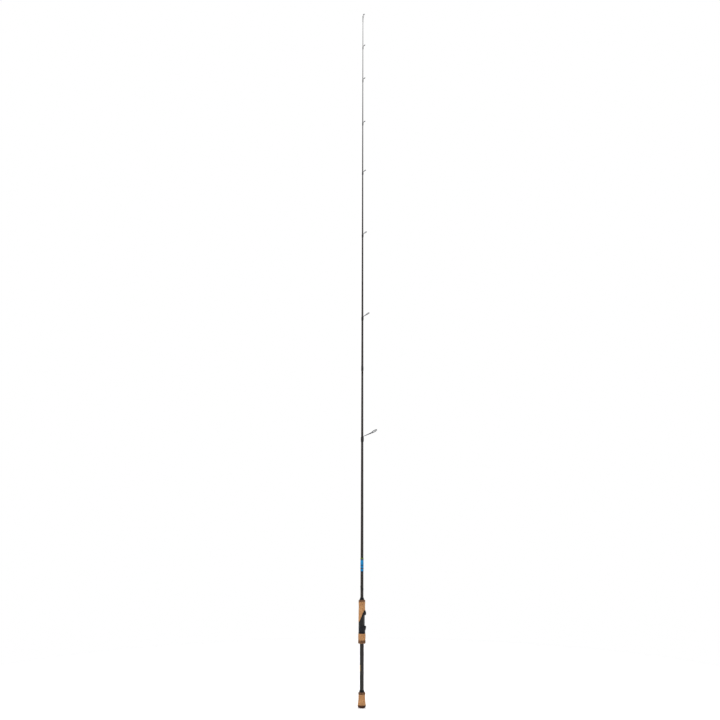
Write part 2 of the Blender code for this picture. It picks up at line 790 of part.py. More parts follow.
def make_guide(number, spec, blank, parent):
    ring_z, reach, hoop_radius, slope = spec
    name = f"guide_{number}"
    segments = 16 if hoop_radius < 4 else 24 if hoop_radius < 8 else 32
    across = Vector((math.cos(GUIDE_TILT), 0, math.sin(GUIDE_TILT)))
    low_edge = reach - hoop_radius * across.x
    rise = hoop_radius * across.z + (low_edge - blank(ring_z)) * math.tan(math.radians(slope))
    neck_z = ring_z - rise
    centre = Vector((reach, 0, rise))
    foot_length = 7.0 + 0.24 * reach
    foot_width = 1.0 + 0.04 * reach
    foot_thick = 0.35 + 0.01 * reach
    leg_width = 0.7 + 0.028 * reach
    hoop_wall = 0.35 + 0.055 * hoop_radius
    hoop_depth = 0.8 + 0.12 * hoop_radius
    foot_x = blank(neck_z - foot_length) + FINE_GAP + foot_thick / 2

    foot = [Vector((foot_x, 0, -foot_length)), Vector((foot_x, 0, 0.3 * foot_thick))]
    parts = [hoop_mesh(centre, hoop_radius, hoop_radius - hoop_wall, hoop_depth, segments)]
    parts.append(bar_mesh(foot, (foot_width * 0.7, foot_width), foot_thick))
    middle_radius = hoop_radius - hoop_wall / 2
    for side in (-1, 1):
        spread = Vector((0, side * math.sin(LEG_SPREAD), 0)) - across * math.cos(LEG_SPREAD)
        end = centre + spread * middle_radius
        start = Vector((foot_x, side * foot_width * 0.22, -0.3 * foot_thick))
        knee = Vector((foot_x + 0.12 * reach, side * foot_width * 0.3, 0.0))
        knee.z = (knee.x - foot_x) * math.tan(math.radians(slope)) * 0.75 + 0.15
        widths = (leg_width * 0.8, leg_width * 1.3, leg_width * 1.1)
        parts.append(bar_mesh([start, knee, end], widths, LEG_THICKENING * foot_thick))
    hole = hoop_hole(centre, hoop_radius - hoop_wall - 0.02, segments)
    new_object(f"{name}_frame", united(parts, hole), "steel", neck_z, parent)

    ring_outer = hoop_radius - hoop_wall - FINE_GAP * 0.7
    make_ring(f"{name}_ring", centre, ring_outer, hoop_depth * 1.15, segments, neck_z, parent)

    wrap_top = -0.06 * foot_length - foot_thick
    wrap_length = foot_length + 1.2 + wrap_top
    bottom = neck_z + wrap_top - wrap_length
    foot_space = (foot_width / 2, foot_x + foot_thick / 2)
    thread = 0.24 + 0.012 * reach
    wrap(f"{name}_wrap", bottom, wrap_length, blank, foot_space, "thread", parent, thread=thread)


def make_tip_top(parent):
    """A tube glued over the end of the blank, with a hoop held by two braces."""
    bore = tip_radius(TUBE_BOTTOM) + FINE_GAP
    tube_radius = bore + 0.35
    height = TUBE_TOP - TUBE_BOTTOM
    tube = [
        (bore, 0.0),
        (tube_radius, 0.0),
        (tube_radius, height + 0.4),
        (0.0, height + 0.8),
        (0.0, height - 0.6),
        (bore, height - 0.6),
    ]
    half_depth = 0.6
    wall = 0.5
    across = Vector((math.cos(GUIDE_TILT), 0, math.sin(GUIDE_TILT)))
    centre = Vector((TIP_RING_X, 0, ROD_LENGTH - TUBE_BOTTOM))
    centre.z -= TIP_RING_RADIUS * across.z + half_depth * across.x
    parts = [turned_mesh(tube, 16)]
    parts.append(hoop_mesh(centre, TIP_RING_RADIUS, TIP_RING_RADIUS - wall, 2 * half_depth, 16))
    for side in (-1, 1):
        brace_end = centre + Vector((0, side * (TIP_RING_RADIUS - wall / 2), 0))
        brace = [Vector((0.85, side * 0.85, height - 5.5)), Vector((1.7, side * 1.4, height - 2.5))]
        brace.append(brace_end)
        parts.append(bar_mesh(brace, (0.5, 0.5, 0.5), 0.45))
    low_edge = centre - across * (TIP_RING_RADIUS - wall / 2)
    neck = [Vector((0.3, 0, height)), low_edge]
    parts.append(bar_mesh(neck, (1.1, 1.1), 0.6))
    hole = hoop_hole(centre, TIP_RING_RADIUS - wall - 0.02, 16)
    new_object("tip_top_frame", united(parts, hole), "steel", TUBE_BOTTOM, parent)
    make_ring("tip_top_ring", centre, TIP_RING_RADIUS - wall - FINE_GAP * 0.7, 1.3, 16, TUBE_BOTTOM, parent)
    wrap("tip_top_wrap", TUBE_BOTTOM - 6.3, 6.0, tip_radius, None, "thread", parent, segments=16, thread=0.25)


def main():
    for old in list(bpy.data.objects):
        bpy.data.objects.remove(old)

    hood_slide = joint_empty("hood_slide_axis", HOOD_BOTTOM)
    nut_turn = joint_empty("nut_turn_axis", NUT_REAR)
    hang_on(nut_turn, hood_slide)
    tip_section = joint_empty("tip_pull_axis", FERRULE_Z)

    make_butt_blank()
    make_butt_grip()
    make_sleeve()
    make_reel_seat()
    make_front_hood()
    make_foregrip()
    make_hook_keeper()
    make_thread_bands()

    make_moving_hood(hood_slide)
    make_lock_nut(nut_turn)

    make_tip_blank(tip_section)
    wrap("ferrule_wrap", FERRULE_Z + 0.4, 14.6, tip_radius, None, "thread", tip_section, thread=0.3)
    for index, spec in enumerate(GUIDES):
        on_butt = spec[0] < FERRULE_Z
        make_guide(index + 1, spec, butt_radius if on_butt else tip_radius, None if on_butt else tip_section)
    make_tip_top(tip_section)


main()
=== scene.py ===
"""Spinning rod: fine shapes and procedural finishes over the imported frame.

Shapes are worked out in millimetres, from the frame's boxes and the seat's driving
dimensions, and place() turns them into metres. +X faces the line guides.
"""

import bisect
import math

import bmesh
import bpy
from mathutils import Matrix, Quaternion, Vector, noise


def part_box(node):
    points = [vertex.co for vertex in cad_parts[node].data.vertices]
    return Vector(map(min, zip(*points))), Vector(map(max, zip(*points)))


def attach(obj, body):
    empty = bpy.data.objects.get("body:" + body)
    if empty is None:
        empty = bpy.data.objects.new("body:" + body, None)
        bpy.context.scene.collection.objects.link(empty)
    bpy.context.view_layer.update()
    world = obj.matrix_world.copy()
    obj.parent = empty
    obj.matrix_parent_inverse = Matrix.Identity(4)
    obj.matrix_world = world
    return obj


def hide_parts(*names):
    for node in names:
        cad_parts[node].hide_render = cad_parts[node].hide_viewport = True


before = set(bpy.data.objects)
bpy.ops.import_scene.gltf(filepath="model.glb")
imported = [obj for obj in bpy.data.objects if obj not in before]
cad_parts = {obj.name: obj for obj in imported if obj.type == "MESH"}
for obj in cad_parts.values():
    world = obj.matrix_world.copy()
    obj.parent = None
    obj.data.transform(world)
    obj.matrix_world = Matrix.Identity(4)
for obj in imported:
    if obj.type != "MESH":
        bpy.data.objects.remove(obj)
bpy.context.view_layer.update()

MM = 0.001
CAD_GAP = 0.3              # between neighbouring solids in the CAD
JOINT_GAP = 0.05           # what shows of that gap, as a glue line
TURN = 72                  # sides of a fine turned piece
TINY = 1e-6
SHALLOW = math.radians(12)  # a corner that turns less than this is not rounded

# Camera and room
LENS = 100.0
SENSOR = 36.0
VIEW_HEIGHT = 2.214        # height of the picture at the rod, in metres
VIEW_MIDDLE = 1.0695       # height of the picture's middle, in metres
VIEW_SHIFT = 0.0072        # how far right of the middle the rod stands, in metres
AZIMUTH = math.radians(27.0)
ROLL = math.radians(0.1)
FLOOR_RADIUS = 1.5         # in metres
FLOOR_DROP = 0.0005        # how far the floor lies below the rod, in metres

# Blank
TAPER = 0.00473            # loss of diameter for each mm of length
BUTT_END_OD = 11.07
FERRULE_Z = 1036.0         # where the tip section starts
TIP_BLANK_OD = 6.6
MALE_END_OD = 5.3
SOCKET_RADIUS = 2.85
SOCKET_DEPTH = 64.0
SPIRAL_PITCH = 3.2         # between the ridges that the tape leaves

# Butt grip and sleeve
GRIP_BORE = 5.9
CHECK_BORE = 6.3
SLEEVE_RADIUS = 6.2
SLEEVE_BORE = 5.75
TOWS_AROUND = 40           # carbon tows round the sleeve
GOLD_ANGLE = math.radians(207.0)
GOLD_HALF_ANGLE = math.radians(62.0)
GOLD_COUNT = 5

# Reel seat
BARREL_RADIUS = 8.0
BARREL_CLEARANCE = 0.25    # between the barrel and the moving hood
THREAD_ROOT = 7.25
THREAD_PITCH = 2.0
FLAT_HALF_ANGLE = math.radians(27.0)
BED_X = BARREL_RADIUS * math.cos(FLAT_HALF_ANGLE)
BED_HALF_ANGLE = math.radians(36.0)
BODY_SIDE = 9.4
BODY_BACK = 10.4
SHOULDER_Z = 252.6
SLANT_LOW = 263.0
SLANT_RISE = 37.5
SLANT_REACH = 10.0
SLANT_POWER = 1.7
SEAT_BORE = 5.4
CORK_EDGE = 10.3           # radius of the foregrip cork where it meets the seat
NUT_SHELL_BORE = 9.45      # of the pieces glued round the lock nut's core

# Hoods: heights, and how far the roof reaches from the axis along X
FRONT_HOOD_ROOF = (
    (281.0, 13.1), (287.0, 13.5), (291.5, 13.8), (295.0, 13.3), (298.0, 12.1), (301.0, 10.5),
)
FRONT_HOOD_SPREAD = 54     # degrees that it reaches to each side
FRONT_HOOD_MOUTH = 281.8
FRONT_HOOD_BOW = 5.2       # how much higher the mouth's edge is in the middle
HOOD_ROOF = (
    (233.3, 10.2), (238.0, 11.0), (241.0, 12.2), (244.0, 13.1), (247.0, 13.7), (250.8, 13.7),
    (252.0, 13.4),
)
POCKET_FLOOR = 238.8
POCKET_ROOF = ((238.8, 9.0), (241.0, 10.8), (246.0, 12.6), (252.0, 12.7))
HOOD_WALL = 1.0
HOOD_ROOF_ROUND = 8.2      # radius of the hoods' rounded roof
HOOD_RING_RADIUS = 10.2
HOOD_BEVEL = 0.22

# Cork
CORK_RING = 12.7           # thickness of the cork discs that a grip is glued up from
PIT_DEPTH = 0.3
ROW_HEIGHT = 0.42          # between the rows of a cork mesh
CORK_SIDES = 150
FOREGRIP_LINE = (          # height and radius, and so for the two below
    (258.0, 10.5), (285.0, 10.4), (299.0, 10.15), (311.0, 9.75), (322.0, 10.25), (326.8, 10.2),
)
REAR_CORK_LINE = (
    (9.0, 12.65), (12.9, 12.1), (16.7, 11.6), (22.5, 11.0), (28.8, 10.4), (35.3, 10.3), (41.0, 10.4),
)
NUT_CORK_LINE = ((208.0, 11.1), (215.0, 11.2), (221.0, 11.35), (226.0, 11.15), (228.5, 10.8))

# Thread work
WINDING_PITCH = 0.2
BLUE_INLAYS = ((419.6, 1.2), (428.6, 1.8), (439.0, 1.2))  # middle and half height of each

# Hook keeper and guides
KEEPER_WIRE = 0.5          # radius of the wire
UNDER_FOOT = 0.12          # between the blank and a foot that is tied on
GUIDE_COUNT = 7
GUIDE_TILT = math.radians(35.0)
LEG_SPREAD = math.radians(55.0)
LEG_THICKENING = 2.3       # how much thicker the legs are than the foot
RING_CLEARANCE = 0.02      # between a ceramic ring and its hoop
TIP_TUBE_TOP = 2127.0
TIP_HOOP_WALL = 0.5


# Numbers and curves

def box(node):
    """A CAD node's lowest and highest corners, in millimetres."""
    low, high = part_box(node)
    return low / MM, high / MM


def linear(*channels):
    """An sRGB colour, 0 to 255, as linear values with alpha."""
    values = [c / 255 for c in channels]
    return (*[v / 12.92 if v <= 0.04045 else ((v + 0.055) / 1.055) ** 2.4 for v in values], 1.0)


def smooth(points, at):
    """Read a value from (position, value) points joined by a smooth curve."""
    last = len(points) - 1
    index = min(max(bisect.bisect_right([point[0] for point in points], at) - 1, 0), last - 1)
    start, end = points[index], points[index + 1]
    before, after = points[max(index - 1, 0)], points[min(index + 2, last)]
    span = end[0] - start[0]
    leave = (end[1] - before[1]) / (end[0] - before[0]) * span
    arrive = (after[1] - start[1]) / (after[0] - start[0]) * span
    t = min(1.0, max(0.0, (at - start[0]) / span))
    rise = t * t * (3 - 2 * t)
    return start[1] + (end[1] - start[1]) * rise + leave * t * (1 - t) ** 2 - arrive * t * t * (1 - t)


def ramp(low, high, at):
    """0 below low and 1 above high, with a soft change between."""
    t = min(1.0, max(0.0, (at - low) / (high - low)))
    return t * t * (3 - 2 * t)


def spread(start, end, count):
    """Evenly spaced numbers from start to end."""
    return [start + (end - start) * step / (count - 1) for step in range(count)]


def above_joint(low):
    """Height of a piece's lower edge, once the gap below its CAD solid is mostly closed."""
    return low.z - CAD_GAP + JOINT_GAP


def polar(radius, angle, height):
    return Vector((radius * math.cos(angle), radius * math.sin(angle), height))


def butt_radius(z):
    return (BUTT_END_OD - TAPER * z) / 2


def tip_radius(z):
    return (TIP_BLANK_OD - TAPER * (z - FERRULE_Z)) / 2


# Shader nodes

def make_node(tree, kind, inputs=None, **settings):
    made = tree.nodes.new("ShaderNode" + kind)
    for key, value in settings.items():
        setattr(made, key, value)
    for socket, value in (inputs or {}).items():
        if isinstance(value, bpy.types.NodeSocket):
            tree.links.new(value, made.inputs[socket])
        else:
            made.inputs[socket].default_value = value
    return made


def calc(tree, operation, *values):
    return make_node(tree, "Math", dict(enumerate(values)), operation=operation).outputs[0]


def mix(tree, factor, first, second):
    """A colour between two colours."""
    return make_node(tree, "Mix", {0: factor, 6: first, 7: second}, data_type="RGBA").outputs[2]


def soft_step(tree, value, low, high):
    """0 below low and 1 above high."""
    inputs = {"Value": value, "From Min": low, "From Max": high}
    return make_node(tree, "MapRange", inputs, interpolation_type="SMOOTHSTEP").outputs["Result"]


def place_in_mm(tree):
    """Object coordinates in millimetres."""
    coordinates = make_node(tree, "TexCoord").outputs["Object"]
    return make_node(tree, "VectorMath", {0: coordinates, "Scale": 1 / MM}, operation="SCALE").outputs[0]


def height_at(tree, where):
    return make_node(tree, "SeparateXYZ", {0: where}).outputs[2]


def angle_at(tree, where):
    """The angle round the rod's axis."""
    parts = make_node(tree, "SeparateXYZ", {0: where})
    return calc(tree, "ARCTAN2", parts.outputs[1], parts.outputs[0])


def noise_at(tree, where, scale, detail=3.0, rough=0.55):
    inputs = {"Vector": where, "Scale": scale, "Detail": detail, "Roughness": rough}
    return make_node(tree, "TexNoise", inputs).outputs["Fac"]


def stretched(tree, where, x, y, z):
    """Coordinates scaled by a different amount along each axis."""
    return make_node(tree, "VectorMath", {0: where, 1: (x, y, z)}, operation="MULTIPLY").outputs[0]


def arch(tree, value):
    """0 at whole numbers, and 1 halfway between them."""
    return calc(tree, "SINE", calc(tree, "MULTIPLY", calc(tree, "FRACT", value), math.pi))


def bump(tree, height, distance, strength=1.0):
    """A bump whose full height is distance in millimetres."""
    made = make_node(tree, "Bump", {"Height": height, "Distance": distance * MM, "Strength": strength})
    return made.outputs["Normal"]


def start_material(name, **sockets):
    """A material, its node tree and its shader, with constants on the shader's own sockets."""
    made = bpy.data.materials.new(name)
    made.use_nodes = True
    shader = made.node_tree.nodes["Principled BSDF"]
    for socket, value in sockets.items():
        shader.inputs[socket.replace("_", " ")].default_value = value
    return made, made.node_tree, shader


def connect(tree, shader, **sockets):
    for socket, value in sockets.items():
        tree.links.new(value, shader.inputs[socket.replace("_", " ")])


# Finishes

def cork_finish():
    """Natural cork glued up from discs, with dark lenticels in the pits that the mesh has."""
    made, tree, shader = start_material("cork_grip", Specular_IOR_Level=0.25)
    where = place_in_mm(tree)
    z = height_at(tree, where)
    disc = calc(tree, "FLOOR", calc(tree, "DIVIDE", z, CORK_RING))
    tint = make_node(tree, "TexWhiteNoise", {"W": disc}, noise_dimensions="1D").outputs["Value"]
    patches = noise_at(tree, where, 0.16, 4.0)
    grain = noise_at(tree, stretched(tree, where, 1.0, 1.0, 2.2), 1.1, 5.0, 0.7)
    light, middle, dark = linear(214, 164, 112), linear(188, 138, 92), linear(150, 102, 64)
    colour = mix(tree, soft_step(tree, patches, 0.35, 0.7), middle, light)
    colour = mix(tree, calc(tree, "MULTIPLY", tint, 0.35), colour, dark)
    colour = mix(tree, soft_step(tree, grain, 0.5, 0.75), colour, dark)
    cells = make_node(tree, "TexVoronoi", {"Vector": where, "Scale": 2.6}, feature="DISTANCE_TO_EDGE")
    edge = soft_step(tree, cells.outputs["Distance"], 0.12, 0.0)
    colour = mix(tree, calc(tree, "MULTIPLY", edge, 0.22), colour, dark)
    speck = soft_step(tree, noise_at(tree, stretched(tree, where, 0.8, 0.8, 1.6), 0.9, 2.0, 0.5), 0.66, 0.72)
    above_seam = calc(tree, "SUBTRACT", calc(tree, "FLOORED_MODULO", z, CORK_RING), 0.1)
    seam = soft_step(tree, calc(tree, "ABSOLUTE", above_seam), 0.16, 0.05)
    pit = make_node(tree, "Attribute", attribute_name="pit").outputs["Fac"]
    hole = calc(tree, "MAXIMUM", calc(tree, "MAXIMUM", pit, speck), calc(tree, "MULTIPLY", seam, 0.6))
    colour = mix(tree, hole, colour, linear(82, 50, 30))
    height = calc(tree, "SUBTRACT", grain, calc(tree, "MAXIMUM", speck, seam))
    rough = calc(tree, "MULTIPLY_ADD", grain, 0.25, 0.68)
    connect(tree, shader, Base_Color=colour, Roughness=rough, Normal=bump(tree, height, 0.18))
    return made


def burl_finish(name, light, middle, dark, roughness):
    """Composite cork: granules of several browns pressed together."""
    made, tree, shader = start_material(name, Specular_IOR_Level=0.3)
    where = place_in_mm(tree)
    warped = noise_at(tree, where, 0.8, 3.0)
    shifted = make_node(tree, "VectorMath", {0: where, 1: warped}, operation="ADD").outputs[0]
    inputs = {"Vector": shifted, "Scale": 0.75}
    cells = make_node(tree, "TexVoronoi", inputs)
    granule = make_node(tree, "SeparateColor", {0: cells.outputs["Color"]}).outputs[0]
    edges = make_node(tree, "TexVoronoi", inputs, feature="DISTANCE_TO_EDGE")
    colour = mix(tree, soft_step(tree, granule, 0.15, 0.6), dark, middle)
    colour = mix(tree, soft_step(tree, granule, 0.6, 0.95), colour, light)
    binder = soft_step(tree, edges.outputs["Distance"], 0.1, 0.02)
    colour = mix(tree, calc(tree, "MULTIPLY", binder, 0.7), colour, dark)
    fine = noise_at(tree, where, 3.5, 4.0, 0.7)
    colour = mix(tree, calc(tree, "MULTIPLY", fine, 0.3), colour, dark)
    height = calc(tree, "SUBTRACT", calc(tree, "MULTIPLY", fine, 0.5), binder)
    rough = calc(tree, "MULTIPLY_ADD", fine, 0.2, roughness)
    connect(tree, shader, Base_Color=colour, Roughness=rough, Normal=bump(tree, height, 0.1))
    return made


def blank_finish():
    """Sanded carbon fibre under clear coat, with the faint spiral that the tape leaves, whose ridges are
    painted lighter as a painted highlight.
    """
    made, tree, shader = start_material(
        "carbon_blank", Coat_Weight=0.1, Coat_Roughness=0.12, Specular_IOR_Level=0.3,
    )
    where = place_in_mm(tree)
    rise = calc(tree, "DIVIDE", height_at(tree, where), SPIRAL_PITCH)
    turns = calc(tree, "DIVIDE", angle_at(tree, where), math.tau)
    phase = calc(tree, "FRACT", calc(tree, "ADD", rise, turns))
    ridge = calc(tree, "ABSOLUTE", calc(tree, "MULTIPLY_ADD", phase, 2.0, -1.0))
    fibres = noise_at(tree, stretched(tree, where, 4.0, 4.0, 0.05), 1.0, 5.0, 0.75)
    cloud = noise_at(tree, stretched(tree, where, 1.0, 1.0, 0.12), 0.12, 3.0)
    colour = mix(tree, fibres, linear(14, 9, 6), linear(36, 27, 21))
    # Painted highlight: the spiral's ridges are painted lighter.
    lit = calc(tree, "MULTIPLY", soft_step(tree, ridge, 0.8, 1.0), 0.3)
    colour = mix(tree, lit, colour, linear(54, 44, 37))
    rough = calc(tree, "MULTIPLY_ADD", cloud, 0.25, 0.28)
    connect(tree, shader, Base_Color=colour, Roughness=rough)
    connect(tree, shader, Normal=bump(tree, calc(tree, "ADD", ridge, fibres), 0.03))
    return made


def sleeve_finish():
    """Twill woven carbon under gloss clear coat. Tows along the rod are painted lighter than tows round it
    as painted sheen, and the creases between tows get painted shade.
    """
    made, tree, shader = start_material(
        "carbon_twill", Coat_Weight=0.15, Coat_Roughness=0.06, Specular_IOR_Level=0.25,
    )
    where = place_in_mm(tree)
    tow = math.tau * SLEEVE_RADIUS / TOWS_AROUND
    u = calc(tree, "MULTIPLY", angle_at(tree, where), TOWS_AROUND / math.tau)
    v = calc(tree, "DIVIDE", height_at(tree, where), tow)
    cell = calc(tree, "ADD", calc(tree, "FLOOR", u), calc(tree, "FLOOR", v))
    warp = calc(tree, "LESS_THAN", calc(tree, "FLOORED_MODULO", cell, 4.0), 2.0)
    crown = make_node(tree, "Mix", {0: warp, 2: arch(tree, v), 3: arch(tree, u)}).outputs[0]
    strands = noise_at(tree, stretched(tree, where, 9.0, 9.0, 0.6), 1.0, 3.0, 0.7)
    # Painted sheen: lit and shaded copies of the same carbon, lighter for tows along the rod and darker for
    # tows round it, each streaked by its strands.
    along = mix(tree, strands, linear(26, 20, 16), linear(46, 38, 32))
    across = mix(tree, strands, linear(9, 7, 5), linear(20, 16, 13))
    colour = mix(tree, warp, across, along)
    # Painted shade: the creases at the tows' edges, where crown is low, are painted darker.
    colour = mix(tree, soft_step(tree, crown, 0.55, 0.1), colour, linear(10, 9, 9))
    rough = calc(tree, "MULTIPLY_ADD", warp, 0.14, 0.3)
    connect(tree, shader, Base_Color=colour, Roughness=rough, Normal=bump(tree, crown, 0.05, 0.6))
    return made


def moulded_finish(name, colour, roughness):
    """Moulded plastic or rubber with a fine sparked grain."""
    made, tree, shader = start_material(name, Specular_IOR_Level=0.3)
    where = place_in_mm(tree)
    grain = noise_at(tree, where, 2.2, 4.0, 0.65)
    wear = noise_at(tree, where, 0.22, 4.0)
    lighter = (*[min(1.0, c * 2.2 + 0.006) for c in colour[:3]], 1.0)
    shade = mix(tree, calc(tree, "MULTIPLY", soft_step(tree, wear, 0.45, 0.75), 0.4), colour, lighter)
    rough = calc(tree, "MULTIPLY_ADD", wear, 0.2, roughness - 0.1)
    connect(tree, shader, Base_Color=shade, Roughness=rough, Normal=bump(tree, grain, 0.03))
    return made


def metal_finish(name, colour, roughness, metallic=1.0, brushed=(0.3, 0.3, 6.0), height=0.012):
    """Metal with fine brush lines and faint handling marks."""
    made, tree, shader = start_material(name, Metallic=metallic)
    where = place_in_mm(tree)
    lines = noise_at(tree, stretched(tree, where, *brushed), 1.6, 5.0, 0.7)
    marks = noise_at(tree, where, 0.5, 4.0, 0.6)
    darker = (*[c * 0.72 for c in colour[:3]], 1.0)
    shade = mix(tree, soft_step(tree, lines, 0.35, 0.7), darker, colour)
    rough = calc(tree, "MULTIPLY_ADD", marks, 0.22, roughness - 0.09)
    connect(tree, shader, Base_Color=shade, Roughness=rough, Normal=bump(tree, lines, height))
    return made


def thread_finish(name, colour, rings=(), ring_colour=None):
    """Thread wound edge to edge under clear epoxy, with inlaid rings of another thread."""
    made, tree, shader = start_material(
        name, Coat_Weight=0.3, Coat_Roughness=0.15, Roughness=0.5, Specular_IOR_Level=0.15,
    )
    where = place_in_mm(tree)
    z = height_at(tree, where)
    share = calc(tree, "DIVIDE", angle_at(tree, where), math.tau)
    turns = calc(tree, "ADD", calc(tree, "DIVIDE", z, WINDING_PITCH), share)
    crown = arch(tree, turns)
    twist = noise_at(tree, stretched(tree, where, 1.0, 1.0, 3.0), 4.0, 2.0, 0.6)
    shadow = (*[c * 0.35 for c in colour[:3]], 1.0)
    lit = (*[min(1.0, c * 1.25) for c in colour[:3]], 1.0)
    shade = mix(tree, soft_step(tree, crown, 0.05, 0.7), shadow, colour)
    shade = mix(tree, calc(tree, "MULTIPLY", twist, 0.5), shade, lit)
    for middle, half in rings:
        distance = calc(tree, "ABSOLUTE", calc(tree, "SUBTRACT", z, middle))
        shade = mix(tree, soft_step(tree, distance, half + 0.05, half - 0.05), shade, ring_colour)
    connect(tree, shader, Base_Color=shade, Normal=bump(tree, crown, 0.03, 0.5))
    return made


def ceramic_finish():
    """Polished black ceramic with a faint cloud in it."""
    made, tree, shader = start_material("guide_ceramic", Coat_Weight=0.4, Coat_Roughness=0.02)
    cloud = noise_at(tree, place_in_mm(tree), 1.2, 4.0)
    colour = mix(tree, cloud, linear(14, 14, 16), linear(38, 38, 42))
    rough = calc(tree, "MULTIPLY_ADD", cloud, 0.1, 0.06)
    connect(tree, shader, Base_Color=colour, Roughness=rough)
    return made


FINISHES = {
    "cork": cork_finish(),
    "burl": burl_finish("burl_cork", linear(170, 122, 78), linear(122, 84, 52), linear(66, 40, 24), 0.62),
    "cap": burl_finish("rubber_cork", linear(112, 66, 36), linear(72, 38, 18), linear(36, 18, 9), 0.68),
    "blank": blank_finish(),
    "sleeve": sleeve_finish(),
    "seat": moulded_finish("seat_nylon", linear(13, 11, 9), 0.5),
    "hood": metal_finish("hood_anodised", linear(21, 22, 27), 0.36, metallic=0.6),
    "check": metal_finish("check_anodised", linear(34, 34, 36), 0.3, metallic=0.85),
    "cushion": moulded_finish("hood_cushion", linear(16, 16, 17), 0.7),
    "insert": moulded_finish("nut_insert", linear(40, 40, 42), 0.5),
    "gold": metal_finish("gold_inlay", linear(216, 178, 106), 0.35),
    "blue": thread_finish("blue_thread", linear(0, 122, 178), BLUE_INLAYS, linear(10, 48, 84)),
    "navy": thread_finish("navy_thread", linear(22, 40, 74)),
    "green": thread_finish("green_thread", linear(98, 126, 32)),
    "thread": thread_finish("black_thread", linear(22, 20, 19)),
    "steel": metal_finish("guide_steel", linear(78, 80, 84), 0.3, brushed=(3.0, 3.0, 1.0), height=0.006),
    "ring": ceramic_finish(),
}


# Pieces

def add_object(name, data):
    made = bpy.data.objects.new(name, data)
    bpy.context.scene.collection.objects.link(made)
    return made


def place(name, bm, finish, body, *nodes, sharp=40.0, bevel=0.0):
    """Make a piece from a mesh in millimetres. It rides on a body and stands for CAD nodes."""
    bmesh.ops.recalc_face_normals(bm, faces=bm.faces)
    bmesh.ops.scale(bm, vec=(MM, MM, MM), verts=bm.verts)
    mesh = bpy.data.meshes.new(name)
    bm.to_mesh(mesh)
    bm.free()
    mesh.shade_smooth()
    mesh.set_sharp_from_angle(angle=math.radians(sharp))
    mesh.materials.append(FINISHES[finish])
    made = add_object(name, mesh)
    if bevel:
        eased_edges = made.modifiers.new("eased edges", "BEVEL")
        eased_edges.width = bevel * MM
        eased_edges.segments = 2
        eased_edges.limit_method = "ANGLE"
        eased_edges.angle_limit = math.radians(sharp)
        eased_edges.harden_normals = True
    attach(made, body)
    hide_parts(*nodes)


def eased(outline, radius, steps=3):
    """Round the corners of a closed (radius, height) outline, with a point held either side."""
    points = [Vector(point) for point in outline]
    result = []
    for before, corner, after in zip(points[-1:] + points[:-1], points, points[1:] + points[:1]):
        back, forward = before - corner, after - corner
        kept = corner.x < TINY or min(back.length, forward.length) < TINY
        if kept or math.pi - back.angle(forward) < SHALLOW:
            result.append(corner)
            continue
        reach = min(radius, 0.4 * back.length, 0.4 * forward.length)
        start = corner + back.normalized() * reach
        end = corner + forward.normalized() * reach
        hold = 0.35 * reach
        result.append(start + back.normalized() * min(hold, 0.05 * back.length))
        for step in range(steps + 1):
            share = step / steps
            first = start.lerp(corner, share)
            second = corner.lerp(end, share)
            result.append(first.lerp(second, share))
        result.append(end + forward.normalized() * min(hold, 0.05 * forward.length))
    return [(point.x, point.y) for point in result]


def turned(outline, segments=TURN):
    """A mesh turned from a closed outline of (radius, height) points round the Z axis."""
    bm = bmesh.new()
    verts = [bm.verts.new((radius, 0.0, height)) for radius, height in outline]
    pairs = list(zip(verts, verts[1:] + verts[:1]))
    edges = [bm.edges.new(pair) for pair in pairs if pair[0].co.x + pair[1].co.x > 0.0]
    bmesh.ops.spin(
        bm, geom=verts + edges, cent=(0, 0, 0), axis=(0, 0, 1),
        angle=math.tau, steps=segments, use_merge=True,
    )
    bmesh.ops.remove_doubles(bm, verts=bm.verts, dist=0.0005)
    return bm


def loft(rows, angles):
    """A mesh that goes once round the axis. Each row maps an angle to (radius, height), and
    the rows follow each other up the outside and down the inside."""
    bm = bmesh.new()
    grid = []
    for row in rows:
        points = [(angle, row(angle)) for angle in angles]
        grid.append([bm.verts.new(polar(radius, angle, height)) for angle, (radius, height) in points])
    close_walls(bm, grid)
    return bm


def close_walls(bm, grid):
    """Faces between rings of vertices, from the last ring back to the first. Where two
    corners are the same vertex, the face has three."""
    for lower, upper in zip(grid, grid[1:] + grid[:1]):
        for step in range(len(lower)):
            after = (step + 1) % len(lower)
            corners = list(dict.fromkeys((lower[step], lower[after], upper[after], upper[step])))
            if len(corners) > 2:
                bm.faces.new(corners)


def round_angles(count):
    """Even angles round the axis, from -180 to 180 degrees."""
    return [math.tau * step / count - math.pi for step in range(count)]


def sheet(outside, inside):
    """A closed sheet between two grids of points of the same size."""
    bm = bmesh.new()
    top = [[bm.verts.new(point) for point in line] for line in outside]
    low = [[bm.verts.new(point) for point in line] for line in inside]
    rims = []
    for grid in (top, low):
        for line, following in zip(grid, grid[1:]):
            for corners in zip(line, line[1:], following[1:], following):
                bm.faces.new(corners)
        right = [line[-1] for line in grid[1:]]
        left = [line[0] for line in grid[-2:0:-1]]
        rims.append(grid[0] + right + grid[-1][-2::-1] + left)
    upper, lower = rims
    for step in range(len(upper)):
        after = (step + 1) % len(upper)
        bm.faces.new((upper[step], upper[after], lower[after], lower[step]))
    return bm


def add_mesh(bm, other):
    """Add another mesh to bm, as separate closed shells."""
    mesh = bpy.data.meshes.new("part")
    other.to_mesh(mesh)
    other.free()
    bm.from_mesh(mesh)
    bpy.data.meshes.remove(mesh)


# Butt grip

